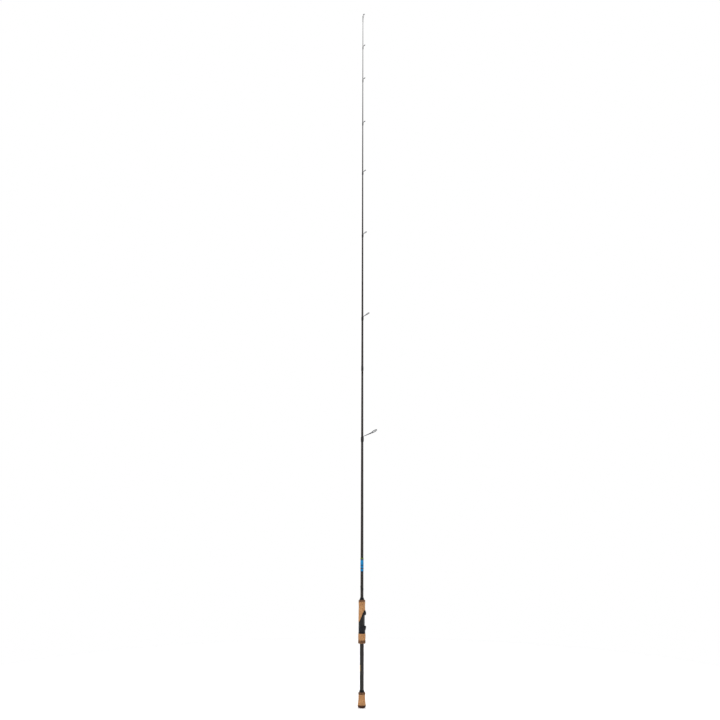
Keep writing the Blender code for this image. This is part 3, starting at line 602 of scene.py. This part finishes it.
def make_cap():
    """The cap's lower end is a flat in the middle of a quarter-round dome."""
    low, high = box("butt_cap")
    flat, rim, dome = 6.0, high.x, 7.0
    outline = [(0.0, low.z), (flat - 0.5, low.z)]
    for angle in spread(0.0, math.pi / 2, 16):
        outline.append((flat + (rim - flat) * math.sin(angle), low.z + dome * (1 - math.cos(angle))))
    outline += [(rim, high.z - 0.3), (rim - 0.25, high.z), (GRIP_BORE, high.z), (0.0, high.z - 0.2)]
    place("butt_cap_domed", turned(outline), "cap", "butt_section", "butt_cap")


def pit_depth(point, seed):
    """How deep a lenticel is at a point on the cork, 0 to 1."""
    where = Vector((point.x * 0.42, point.y * 0.42, point.z * 0.85 + seed))
    large = ramp(0.34, 0.5, noise.noise(where))
    small = ramp(0.36, 0.5, noise.noise(where * 2.6 + Vector((7.0, 3.0, 1.0)))) * 0.7
    return max(large, small)


def cork_piece(name, line, bottom, top, bore, nodes, body, seed):
    """A cork grip in level rows, cut off along its lower edge, at the height bottom(angle)."""
    angles = round_angles(CORK_SIDES)
    edge = [bottom(angle) for angle in angles]
    bm = bmesh.new()
    pit_layer = bm.verts.layers.float.new("pit")

    def surface(angle, base, z):
        from_edge = min(z - base, top - z)
        easing = 0.3 * (1 - ramp(-0.3, 0.6, from_edge))
        radius = smooth(line, z) - easing
        pit = pit_depth(polar(radius, angle, z), seed) * ramp(0.0, 0.9, from_edge)
        vert = bm.verts.new(polar(radius - PIT_DEPTH * pit, angle, z))
        vert[pit_layer] = pit
        return vert

    grid = [[surface(angle, base, base) for angle, base in zip(angles, edge)]]
    for z in spread(min(edge), top, int((top - min(edge)) / ROW_HEIGHT))[1:]:
        below = grid[-1]
        grid.append([
            surface(angle, base, z) if z > base + 0.1 * ROW_HEIGHT else under
            for angle, base, under in zip(angles, edge, below)
        ])
    grid.append([bm.verts.new(polar(bore, angle, top)) for angle in angles])
    grid.append([bm.verts.new(polar(bore, angle, base)) for angle, base in zip(angles, edge)])
    close_walls(bm, grid)
    place(name, bm, "cork", body, *nodes, sharp=60.0)


def make_butt_grip():
    make_cap()
    low, high = box("butt_grip_cork")
    bottom = above_joint(low)
    cork_piece(
        "butt_grip_cork_pitted", REAR_CORK_LINE, lambda angle: bottom, high.z, GRIP_BORE,
        ["butt_grip_cork"], "butt_section", 0.0,
    )

    low, high = box("butt_grip_ring")
    base = above_joint(low)
    outline = [
        (10.45, base), (high.x, base + 2.2), (high.x, high.z - 1.3), (high.x - 0.9, high.z),
        (GRIP_BORE, high.z), (GRIP_BORE, base),
    ]
    place("butt_grip_burl", turned(eased(outline, 0.6)), "burl", "butt_section", "butt_grip_ring")

    low, high = box("butt_grip_check")
    base = above_joint(low)
    outline = [
        (high.x, base), (high.x, base + 1.3), (8.15, base + 1.5), (8.15, base + 1.8),
        (8.25, base + 2.0), (7.2, high.z - 0.7), (6.8, high.z), (CHECK_BORE, high.z),
        (CHECK_BORE, base),
    ]
    place("butt_check_cone", turned(eased(outline, 0.25)), "check", "butt_section", "butt_grip_check")


def make_sleeve():
    low, high = box("split_grip_sleeve")
    outline = [(SLEEVE_RADIUS, z) for z in spread(low.z, high.z, 24)]
    outline += [(SLEEVE_BORE, high.z), (SLEEVE_BORE, low.z)]
    place("split_grip_twill", turned(outline), "sleeve", "butt_section", "split_grip_sleeve")


def make_gold_inlay():
    """A plain row of gold lozenges, laid on one side of the sleeve."""
    low, high = box("gold_trim_band")
    pitch = (high.z - low.z) / GOLD_COUNT
    bm = bmesh.new()
    for index in range(GOLD_COUNT):
        centre = low.z + pitch * (index + 0.5)
        lozenge = []
        for radius in (high.x, high.x - 0.2):
            lines = []
            for share in spread(-1.0, 1.0, 17):
                half_height = (1 - abs(share)) * pitch * 0.46 + 0.04
                angle = GOLD_ANGLE + GOLD_HALF_ANGLE * share
                lines.append([polar(radius, angle, centre + half_height * t) for t in (-1, 0, 1)])
            lozenge.append(lines)
        add_mesh(bm, sheet(*lozenge))
    place("gold_lozenge_inlay", bm, "gold", "butt_section", "gold_trim_band", sharp=60.0)


# Reel seat

def ellipse(across, sideways, angle):
    """Radius of an ellipse with half axes across (along X) and sideways (along Y)."""
    return 1 / math.hypot(math.cos(angle) / across, math.sin(angle) / sideways)


def d_shape(radius, flat, angle):
    """Radius of a circle cut by a flat on the +X side."""
    facing = math.cos(angle)
    return min(radius, flat / facing) if facing > 0 else radius


def bed_front():
    """Half axis along X of the ellipse that the foot bed's flat cuts at BED_HALF_ANGLE."""
    y = BED_X * math.tan(BED_HALF_ANGLE)
    return BED_X / math.sqrt(1 - (y / BODY_SIDE) ** 2)


def body_radius(angle):
    """The seat's cross-section above the shoulder: oval, with the foot bed's flat on +X."""
    if abs(angle) > math.pi / 2:
        return ellipse(BODY_BACK, BODY_SIDE, angle)
    return d_shape(ellipse(bed_front(), BODY_SIDE, angle), BED_X, angle)


def slant(x):
    """Height of the joint between the seat and the foregrip cork."""
    share = min(1.0, max(0.0, (1 + x / SLANT_REACH) / 2))
    return SLANT_LOW + SLANT_RISE * share ** SLANT_POWER


def roof_radius(top, round_radius, angle):
    """Radius of a rounded roof that reaches x = top."""
    centre = top - round_radius
    under = round_radius ** 2 - (centre * math.sin(angle)) ** 2
    return centre * math.cos(angle) + math.sqrt(max(0.0, under))


def make_reel_seat():
    bottom = box("reel_seat_body")[0].z
    thread_end = SHOULDER_Z - 1.5

    def barrel(z, shrink=0.0):
        def row(angle):
            cut = ramp(bottom, bottom + 1.5, z) * (1 - ramp(thread_end - 1.0, thread_end, z))
            wave = 0.5 - 0.5 * math.cos(math.tau * (z / THREAD_PITCH - angle / math.tau))
            depth = (BARREL_RADIUS - THREAD_ROOT) * cut * ramp(0.25, 0.8, wave)
            return d_shape(BARREL_RADIUS - depth, BED_X, angle) - shrink, z
        return row

    def body(share, shrink=0.0):
        def row(angle):
            radius = body_radius(angle) - shrink
            top = slant(radius * math.cos(angle))
            return radius, SHOULDER_Z + (top - SHOULDER_Z) * share
        return row

    rows = [barrel(bottom, 0.5), barrel(bottom + 0.5)]
    rows += [barrel(z) for z in spread(bottom + 0.8, SHOULDER_Z - 0.25, 151)]
    rows += [body(0.0, 0.45), body(0.006, 0.12), body(0.015), body(0.03)]
    rows += [body(share) for share in spread(0.08, 1.0, 12)]
    rows += [lambda angle: (SEAT_BORE, slant(SEAT_BORE * math.cos(angle)))]
    rows += [lambda angle: (SEAT_BORE, bottom)]
    bm = loft(rows, round_angles(120))
    place("reel_seat_threaded", bm, "seat", "butt_section", "reel_seat_body", sharp=35.0)


def make_front_hood():
    """The hood runs from its mouth up into the joint between the seat and the cork."""
    outside, inside = [], []
    for degrees in range(-FRONT_HOOD_SPREAD, FRONT_HOOD_SPREAD + 1, 3):
        angle = math.radians(degrees)
        mouth = FRONT_HOOD_MOUTH + FRONT_HOOD_BOW * math.cos(angle) ** 2
        seat = body_radius(angle) + 0.15
        outer_end = slant(CORK_EDGE * math.cos(angle)) - 0.1
        inner_end = slant(seat * math.cos(angle)) - 0.2
        out_line, in_line = [], []
        for share in spread(0.0, 1.0, 26):
            out_z = mouth + (outer_end - mouth) * share
            in_z = mouth + (inner_end - mouth) * share
            roof = smooth(FRONT_HOOD_ROOF, out_z)
            ceiling = smooth(FRONT_HOOD_ROOF, in_z) - HOOD_WALL
            outer = max(roof_radius(roof, HOOD_ROOF_ROUND, angle), seat + HOOD_WALL)
            inner = max(roof_radius(ceiling, HOOD_ROOF_ROUND - HOOD_WALL, angle), seat)
            inner += (seat - inner) * ramp(0.8, 0.9, share)
            out_line.append(polar(outer, angle, out_z))
            in_line.append(polar(inner, angle, in_z))
        outside.append(out_line)
        inside.append(in_line)
    bm = sheet(outside, inside)
    place("front_hood_shell", bm, "hood", "butt_section", "front_hood", bevel=HOOD_BEVEL)


def make_moving_hood():
    def wall(height, shrink=0.0):
        def row(angle):
            ring = ellipse(HOOD_RING_RADIUS + 0.2, HOOD_RING_RADIUS, angle)
            roof = roof_radius(smooth(HOOD_ROOF, height), HOOD_ROOF_ROUND, angle)
            return max(ring, roof) - shrink, height
        return row

    def pocket(height):
        def row(angle):
            reach = roof_radius(smooth(POCKET_ROOF, height), HOOD_ROOF_ROUND - HOOD_WALL, angle)
            return max(BARREL_RADIUS + BARREL_CLEARANCE, reach), height
        return row

    def bore(height):
        radius, flat = BARREL_RADIUS + BARREL_CLEARANCE, BED_X + BARREL_CLEARANCE
        return lambda angle: (d_shape(radius, flat, angle), height)

    low, high = box("moving_hood")
    rows = [wall(z) for z in spread(low.z, low.z + 2.4, 4)]
    rows += [wall(low.z + 2.6, 0.22), wall(low.z + 3.0, 0.22), wall(low.z + 3.2)]
    rows += [wall(z) for z in spread(low.z + 3.8, high.z, 20)]
    rows += [pocket(z) for z in spread(high.z, POCKET_FLOOR, 12)]
    rows += [bore(POCKET_FLOOR - 1.0), bore(low.z)]
    bm = loft(rows, round_angles(120))
    place("moving_hood_shell", bm, "hood", "moving_hood", "moving_hood", bevel=HOOD_BEVEL)


def make_lock_nut():
    bore = NUT_SHELL_BORE
    low, high = box("lock_nut_rear_ring")
    top = high.z + CAD_GAP - JOINT_GAP
    rear = [
        (high.x - 0.8, low.z), (high.x, low.z + 1.0), (high.x, top - 2.0), (11.15, top),
        (bore, top), (bore, low.z),
    ]
    place("lock_nut_burl", turned(eased(rear, 0.7)), "burl", "lock_nut", "lock_nut_rear_ring")

    low, high = box("lock_nut_cork")
    bottom = low.z
    cork_piece(
        "lock_nut_cork_pitted", NUT_CORK_LINE, lambda angle: bottom, high.z, bore,
        ["lock_nut_cork"], "lock_nut", 31.0,
    )

    low, high = box("lock_nut_front_ring")
    base = above_joint(low)
    edge = high.x
    root = edge - 0.35
    front = [(edge - 0.1, base)]
    for groove in (base + 1.1, base + 2.3, base + 3.5):
        front += [(edge, groove), (root, groove + 0.15), (root, groove + 0.4), (edge, groove + 0.55)]
    front += [(edge - 0.3, high.z), (bore, high.z), (bore, base)]
    place("lock_nut_ring_turned", turned(eased(front, 0.12)), "check", "lock_nut", "lock_nut_front_ring")


def make_foregrip():
    top = box("foregrip_cork")[1].z
    cork_piece(
        "foregrip_cork_pitted", FOREGRIP_LINE,
        lambda angle: slant(CORK_EDGE * math.cos(angle)) + JOINT_GAP,
        top, SEAT_BORE, ["foregrip_cork"], "butt_section", 57.0,
    )

    low, high = box("foregrip_ring")
    base = above_joint(low)
    edge = high.x
    ring = [
        (edge - 0.15, base), (edge, base + 1.5), (edge - 0.1, high.z - 1.6), (edge - 1.15, high.z),
        (SEAT_BORE, high.z), (SEAT_BORE, base),
    ]
    place("foregrip_burl", turned(eased(ring, 0.6)), "burl", "butt_section", "foregrip_ring")

    low, high = box("foregrip_check")
    base = above_joint(low)
    edge = high.x
    bore = butt_radius(high.z) + 0.1
    check = [
        (edge, base), (edge, base + 1.2), (edge - 0.3, base + 1.4), (edge - 0.3, base + 1.7),
        (edge - 0.25, base + 1.9), (5.7, high.z - 0.5), (5.4, high.z), (bore, high.z), (bore, base),
    ]
    place("foregrip_check_cone", turned(eased(check, 0.2)), "check", "butt_section", "foregrip_check")


# Blanks and thread work

def make_blanks():
    """The butt blank steps down to its male end, which goes into the tip blank's socket."""
    low, high = box("butt_blank")
    male = MALE_END_OD / 2
    step = FERRULE_Z - 1.0
    outline = [(butt_radius(z), z) for z in spread(low.z, step, 40)]
    outline += [(male + 0.05, step + 0.6)]
    outline += [(male, z) for z in spread(step + 6.0, high.z - 0.6, 6)]
    outline += [(male - 0.3, high.z), (male - 0.75, high.z), (male - 0.75, step), (4.2, low.z)]
    place("butt_blank_fine", turned(outline, 48), "blank", "butt_section", "butt_blank")

    low, high = box("tip_blank")
    socket_end = low.z + SOCKET_DEPTH
    outline = [(tip_radius(low.z) - 0.2, low.z), (tip_radius(low.z), low.z + 0.3)]
    outline += [(tip_radius(z), z) for z in spread(low.z + 20, high.z, 40)]
    outline += [(0.0, high.z), (0.0, socket_end + 26.0)]
    outline += [(SOCKET_RADIUS - 0.1, socket_end), (SOCKET_RADIUS, low.z)]
    place("tip_blank_fine", turned(outline, 40), "blank", "tip_section", "tip_blank")


def hull_radius(back, front, nose, angle):
    """Radius of a thread stretched round a circle and over a smaller round nose in front."""
    centre = front - nose
    if centre <= back - nose:
        return back
    lift_off = math.acos((back - nose) / centre)
    land = math.atan2(nose * math.sin(lift_off), centre + nose * math.cos(lift_off))
    angle = abs(math.remainder(angle, math.tau))
    if angle >= lift_off:
        return back
    if angle > land:
        return back / math.cos(lift_off - angle)
    return roof_radius(front, nose, angle)


def wrap(node, blank, finish, body, thread, foot_top=None, nose=1.0, turn=0.0):
    """A thread wrap with a rounded epoxy bead. foot_top maps a share of its length to the
    height of the foot under it, above the rod's axis, and nose is how round that foot is."""
    low, high = box(node)
    length = high.z - low.z

    def outer(share):
        swell = (1 - abs(2 * share - 1) ** 4) ** 0.5
        z = low.z + length * share

        def row(angle):
            cover = thread * (0.12 + 0.88 * swell)
            back = blank(z) + 0.03 + cover
            front = foot_top(share) + cover if foot_top else 0.0
            return hull_radius(back, front, nose + cover, angle - turn), z
        return row

    shares = [0.0, 0.004, 0.015, 0.035, 0.07, 0.12]
    shares += spread(0.2, 0.8, 9) + [1 - share for share in reversed(shares)]
    rows = [outer(share) for share in shares]
    rows += [lambda angle: (blank(high.z) + 0.02, high.z)]
    rows += [lambda angle: (blank(low.z) + 0.02, low.z)]
    place(f"{node}_wound", loft(rows, round_angles(64)), finish, body, node, sharp=50.0)


def make_hook_keeper():
    """A wire loop whose foot is under a wrap and whose other end rests on the blank."""
    low, high = box("hook_keeper")
    wrap_top = box("hook_keeper_wrap")[1].z
    wire = KEEPER_WIRE
    rest = butt_radius(low.z) + UNDER_FOOT + wire
    reach = -low.y - wire
    loop_low, loop_high = wrap_top + 0.5, high.z - 1.6
    curve = bpy.data.curves.new("hook_keeper_wire", "CURVE")
    curve.dimensions = "3D"
    curve.bevel_depth = wire * MM
    curve.bevel_resolution = 4
    curve.use_fill_caps = True
    points = [(rest, low.z + 0.3), (rest, (low.z + loop_low) / 2), (rest, loop_low - 0.3)]
    for share in spread(0.0, 1.0, 33):
        lift = math.sin(math.pi * share) ** 0.75
        points.append((rest + (reach - rest) * lift, loop_low + (loop_high - loop_low) * share))
    points += [(rest, loop_high + 0.4), (rest, high.z)]
    spline = curve.splines.new("POLY")
    spline.points.add(len(points) - 1)
    for point, (out, height) in zip(spline.points, points):
        point.co = (0.0, -out * MM, height * MM, 1.0)
    spline.use_smooth = True
    curve.materials.append(FINISHES["steel"])
    made = add_object("hook_keeper_wire", curve)
    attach(made, "butt_section")
    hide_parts("hook_keeper")

    def foot_top(share):
        return rest + wire * ramp(-0.4, 0.15, share)

    wrap(
        "hook_keeper_wrap", butt_radius, "thread", "butt_section", 0.2, foot_top,
        nose=wire, turn=-math.pi / 2,
    )


def make_bands():
    for node, finish in (("blue_wrap", "blue"), ("navy_wrap", "navy"), ("green_wrap", "green")):
        wrap(node, butt_radius, finish, "butt_section", 0.42)
    wrap("ferrule_wrap", tip_radius, "thread", "tip_section", 0.32)
    wrap("tip_top_wrap", tip_radius, "thread", "tip_section", 0.26)


# Line guides

def tilted(centre):
    """Moves a hoop made round Z to its centre, tilted so that its far rim is the higher one."""
    return Matrix.Translation(centre) @ Matrix.Rotation(-GUIDE_TILT, 4, "Y")


def hoop(centre, outer, inner, depth, segments=56):
    """The guide frame's hoop: a band with a rounded outer face."""
    half = depth / 2
    outline = [(inner, -half)]
    for angle in spread(-math.pi / 2, math.pi / 2, 7):
        bulge = (outer - inner) * 0.35
        outline.append((outer - bulge + bulge * math.cos(angle), half * math.sin(angle)))
    outline.append((inner, half))
    bm = turned(outline, segments)
    bmesh.ops.transform(bm, matrix=tilted(centre), verts=bm.verts)
    return bm


def bar(points, widths, depths, sides=12):
    """A flat bar with rounded edges along a smooth line through the points, wide along Y."""
    bm = bmesh.new()
    spans = len(points) - 1

    def along(values):
        """Values at the points, read six times as finely."""
        return [smooth(list(enumerate(values)), at) for at in spread(0.0, spans, 6 * spans + 1)]

    path = [Vector(spot) for spot in zip(*[along([point[axis] for point in points]) for axis in range(3)])]
    rings = []
    for index, (point, width, depth) in enumerate(zip(path, along(widths), along(depths))):
        ahead = path[min(index + 1, len(path) - 1)] - path[max(index - 1, 0)]
        normal = ahead.cross(Vector((0, 1, 0))).normalized()
        side = normal.cross(ahead).normalized()
        ring = []
        for step in range(sides):
            angle = math.tau * step / sides
            across = math.copysign(abs(math.cos(angle)) ** 0.6, math.cos(angle)) * width / 2
            up = math.copysign(abs(math.sin(angle)) ** 0.6, math.sin(angle)) * depth / 2
            ring.append(bm.verts.new(point + side * across + normal * up))
        rings.append(ring)
    for lower, upper in zip(rings, rings[1:]):
        for step in range(sides):
            after = (step + 1) % sides
            bm.faces.new((lower[step], lower[after], upper[after], upper[step]))
    bm.faces.new(rings[0])
    bm.faces.new(rings[-1])
    return bm


def make_ring(name, node, centre, outer, depth, body):
    """The ceramic ring: flat outside, and round where the line runs."""
    crest = outer * 0.93
    inner = outer * 0.79
    half = depth / 2
    outline = [(outer, -half * 0.7), (outer, half * 0.7)]
    for angle in spread(math.pi / 2, -math.pi / 2, 9):
        outline.append((crest - (crest - inner) * math.cos(angle), half * math.sin(angle)))
    bm = turned(outline, 56)
    bmesh.ops.transform(bm, matrix=tilted(centre), verts=bm.verts)
    place(name, bm, "ring", body, node, sharp=50.0)


def ring_centre(node):
    low, high = box(node)
    return Vector(((low.x + high.x) / 2, 0.0, (low.z + high.z) / 2))


def make_guide(number):
    """A single-foot guide. Its sizes grow with its reach, from the rod's axis to the ring."""
    name = f"guide_{number}"
    body = "butt_section" if number == 1 else "tip_section"
    blank = butt_radius if number == 1 else tip_radius
    frame_low, frame_high = box(f"{name}_frame")
    centre = ring_centre(f"{name}_ring")
    reach = centre.x
    hoop_radius = frame_high.y
    foot_length = 7.0 + 0.24 * reach
    foot_width = 1.0 + 0.04 * reach
    foot_thick = 0.35 + 0.01 * reach
    leg_width = 0.7 + 0.028 * reach
    hoop_wall = 0.35 + 0.055 * hoop_radius
    hoop_depth = 0.8 + 0.12 * hoop_radius
    neck_z = frame_low.z + foot_length
    foot_x = blank(frame_low.z) + UNDER_FOOT + foot_thick / 2
    across = Vector((math.cos(GUIDE_TILT), 0, math.sin(GUIDE_TILT)))

    bm = hoop(centre, hoop_radius, hoop_radius - hoop_wall, hoop_depth)
    foot = [
        Vector((foot_x - 0.25 * foot_thick, 0, frame_low.z)),
        Vector((foot_x, 0, neck_z - foot_length / 2)),
        Vector((foot_x, 0, neck_z + 0.3 * foot_thick)),
    ]
    foot_widths = (foot_width * 0.5, foot_width * 0.9, foot_width)
    add_mesh(bm, bar(foot, foot_widths, (foot_thick * 0.6, foot_thick, foot_thick)))
    thick = LEG_THICKENING
    for side in (-1, 1):
        outward = Vector((0, side * math.sin(LEG_SPREAD), 0)) - across * math.cos(LEG_SPREAD)
        end = centre + outward * (hoop_radius - hoop_wall / 2)
        start = Vector((foot_x + 0.25 * foot_thick, side * foot_width * 0.22, neck_z - 0.2 * foot_thick))
        knee = Vector((foot_x + 0.12 * reach, side * foot_width * 0.3, 0.0))
        slope = (end.z - neck_z) / (end.x - foot_x)
        knee.z = neck_z + 0.12 * reach * slope * 0.75 + 0.15
        past = knee.lerp(end, 0.55)
        past.y = knee.y + (end.y - knee.y) * 0.48
        root = Vector((foot_x, start.y, neck_z - 1.2 * foot_thick))
        widths = [leg_width * share for share in (0.7, 0.8, 1.3, 1.2, 1.1)]
        depths = [foot_thick * share for share in (0.8, 1.3, thick, thick, thick)]
        add_mesh(bm, bar([root, start, knee, past, end], widths, depths))
    place(f"{name}_frame_stamped", bm, "steel", body, f"{name}_frame", sharp=50.0)

    ring_outer = hoop_radius - hoop_wall - RING_CLEARANCE
    make_ring(f"{name}_ring_polished", f"{name}_ring", centre, ring_outer, hoop_depth * 1.15, body)

    top = foot_x + foot_thick / 2
    thread = 0.26 + 0.013 * reach

    def foot_top(share):
        """The foot is ground thin at its far end, where the thread climbs onto it."""
        return blank(neck_z) + (top - blank(neck_z)) * ramp(-0.1, 0.3, share)

    wrap(f"{name}_wrap", blank, "thread", body, thread, foot_top, nose=foot_width * 0.45)


def make_tip_top():
    """A closed tube over the blank's end, with a hoop that stands on a neck and two braces."""
    frame_low, frame_high = box("tip_top_frame")
    centre = ring_centre("tip_top_ring")
    hoop_radius = frame_high.y
    middle_radius = hoop_radius - TIP_HOOP_WALL / 2
    inner_radius = hoop_radius - TIP_HOOP_WALL
    bore = tip_radius(frame_low.z) + 0.06
    tube_radius = bore + 0.38
    top = TIP_TUBE_TOP
    outline = [(bore, frame_low.z), (tube_radius - 0.1, frame_low.z), (tube_radius, frame_low.z + 0.3)]
    for angle in spread(0.0, math.pi / 2, 6):
        outline.append((tube_radius * math.cos(angle), top + 0.6 * math.sin(angle)))
    outline += [(0.0, top - 0.6), (bore, top - 0.6)]
    bm = turned(outline, 32)
    add_mesh(bm, hoop(centre, hoop_radius, inner_radius, 1.2, 40))
    across = Vector((math.cos(GUIDE_TILT), 0, math.sin(GUIDE_TILT)))
    for side in (-1, 1):
        end = centre + Vector((0, side * middle_radius, 0))
        start = Vector((0.65, side * 0.65, top - 6.2))
        knee = Vector((1.6, side * 1.4, top - 2.7))
        add_mesh(bm, bar([start, knee, end], (0.5, 0.5, 0.5), (0.45, 0.45, 0.45), 10))
    neck = [Vector((0.3, 0, top)), centre - across * middle_radius]
    add_mesh(bm, bar(neck, (1.1, 1.1), (0.6, 0.6), 10))
    place("tip_top_frame_brazed", bm, "steel", "tip_section", "tip_top_frame", sharp=50.0)
    ring_outer = inner_radius - RING_CLEARANCE
    make_ring("tip_top_ring_polished", "tip_top_ring", centre, ring_outer, 1.3, "tip_section")


def dress_kept_nodes():
    """CAD nodes whose shape stays: the hood liners and the lock nut's threaded core."""
    kept = {"front_hood_liner": "cushion", "moving_hood_liner": "cushion", "lock_nut_core": "insert"}
    for node, finish in kept.items():
        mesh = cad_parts[node].data
        mesh.materials.clear()
        mesh.materials.append(FINISHES[finish])


# Room

def make_camera():
    data = bpy.data.cameras.new("camera")
    data.lens = LENS
    data.sensor_width = SENSOR
    camera = add_object("camera", data)
    back = Vector((math.sin(AZIMUTH), -math.cos(AZIMUTH), 0.0))
    right = Vector((math.cos(AZIMUTH), math.sin(AZIMUTH), 0.0))
    target = Vector((0.0, 0.0, VIEW_MIDDLE)) - right * VIEW_SHIFT
    camera.location = target + back * (VIEW_HEIGHT * LENS / SENSOR)
    camera.rotation_mode = "QUATERNION"
    level = (-back).to_track_quat("-Z", "Y")
    camera.rotation_quaternion = level @ Quaternion((0, 0, 1), ROLL)
    data.clip_end = 100.0
    bpy.context.scene.camera = camera


def area_light(name, location, target, size, power):
    data = bpy.data.lights.new(name, "AREA")
    data.shape = "DISK"
    data.size = size
    data.energy = power
    light = add_object(name, data)
    light.location = location
    light.rotation_mode = "QUATERNION"
    light.rotation_quaternion = (Vector(target) - Vector(location)).to_track_quat("-Z", "Y")


def make_room():
    """A white world that darkens overhead, a small white floor, and three soft lights."""
    scene = bpy.context.scene
    scene.view_settings.view_transform = "Standard"
    scene.world = bpy.data.worlds.new("studio")
    scene.world.use_nodes = True
    tree = scene.world.node_tree
    direction = make_node(tree, "TexCoord").outputs["Generated"]
    overhead = soft_step(tree, height_at(tree, direction), 0.2, 0.45)
    shade = mix(tree, overhead, (1.0, 1.0, 1.0, 1.0), (0.16, 0.16, 0.17, 1.0))
    tree.links.new(shade, tree.nodes["Background"].inputs["Color"])

    material, tree, shader = start_material("studio_floor", Roughness=0.9)
    mottle = noise_at(tree, make_node(tree, "TexCoord").outputs["Object"], 6.0)
    shade = mix(tree, mottle, (0.93, 0.93, 0.93, 1.0), (0.97, 0.97, 0.97, 1.0))
    connect(tree, shader, Base_Color=shade)
    bm = bmesh.new()
    bmesh.ops.create_circle(bm, cap_ends=True, segments=96, radius=FLOOR_RADIUS)
    mesh = bpy.data.meshes.new("floor")
    bm.to_mesh(mesh)
    bm.free()
    mesh.materials.append(material)
    floor = add_object("floor", mesh)
    floor.location.z = -FLOOR_DROP

    area_light("key", (-2.2, -2.0, 2.4), (0.0, 0.0, 1.0), size=1.4, power=26.0)
    area_light("fill", (2.6, -1.4, 1.2), (0.0, 0.0, 1.0), size=1.6, power=5.0)
    area_light("top", (0.0, 0.0, 5.0), (0.0, 0.0, 0.0), size=4.0, power=290.0)


make_camera()
make_room()
make_butt_grip()
make_sleeve()
make_gold_inlay()
make_reel_seat()
make_front_hood()
make_moving_hood()
make_lock_nut()
make_foregrip()
make_blanks()
make_hook_keeper()
make_bands()
for guide_number in range(1, GUIDE_COUNT + 1):
    make_guide(guide_number)
make_tip_top()
dress_kept_nodes()
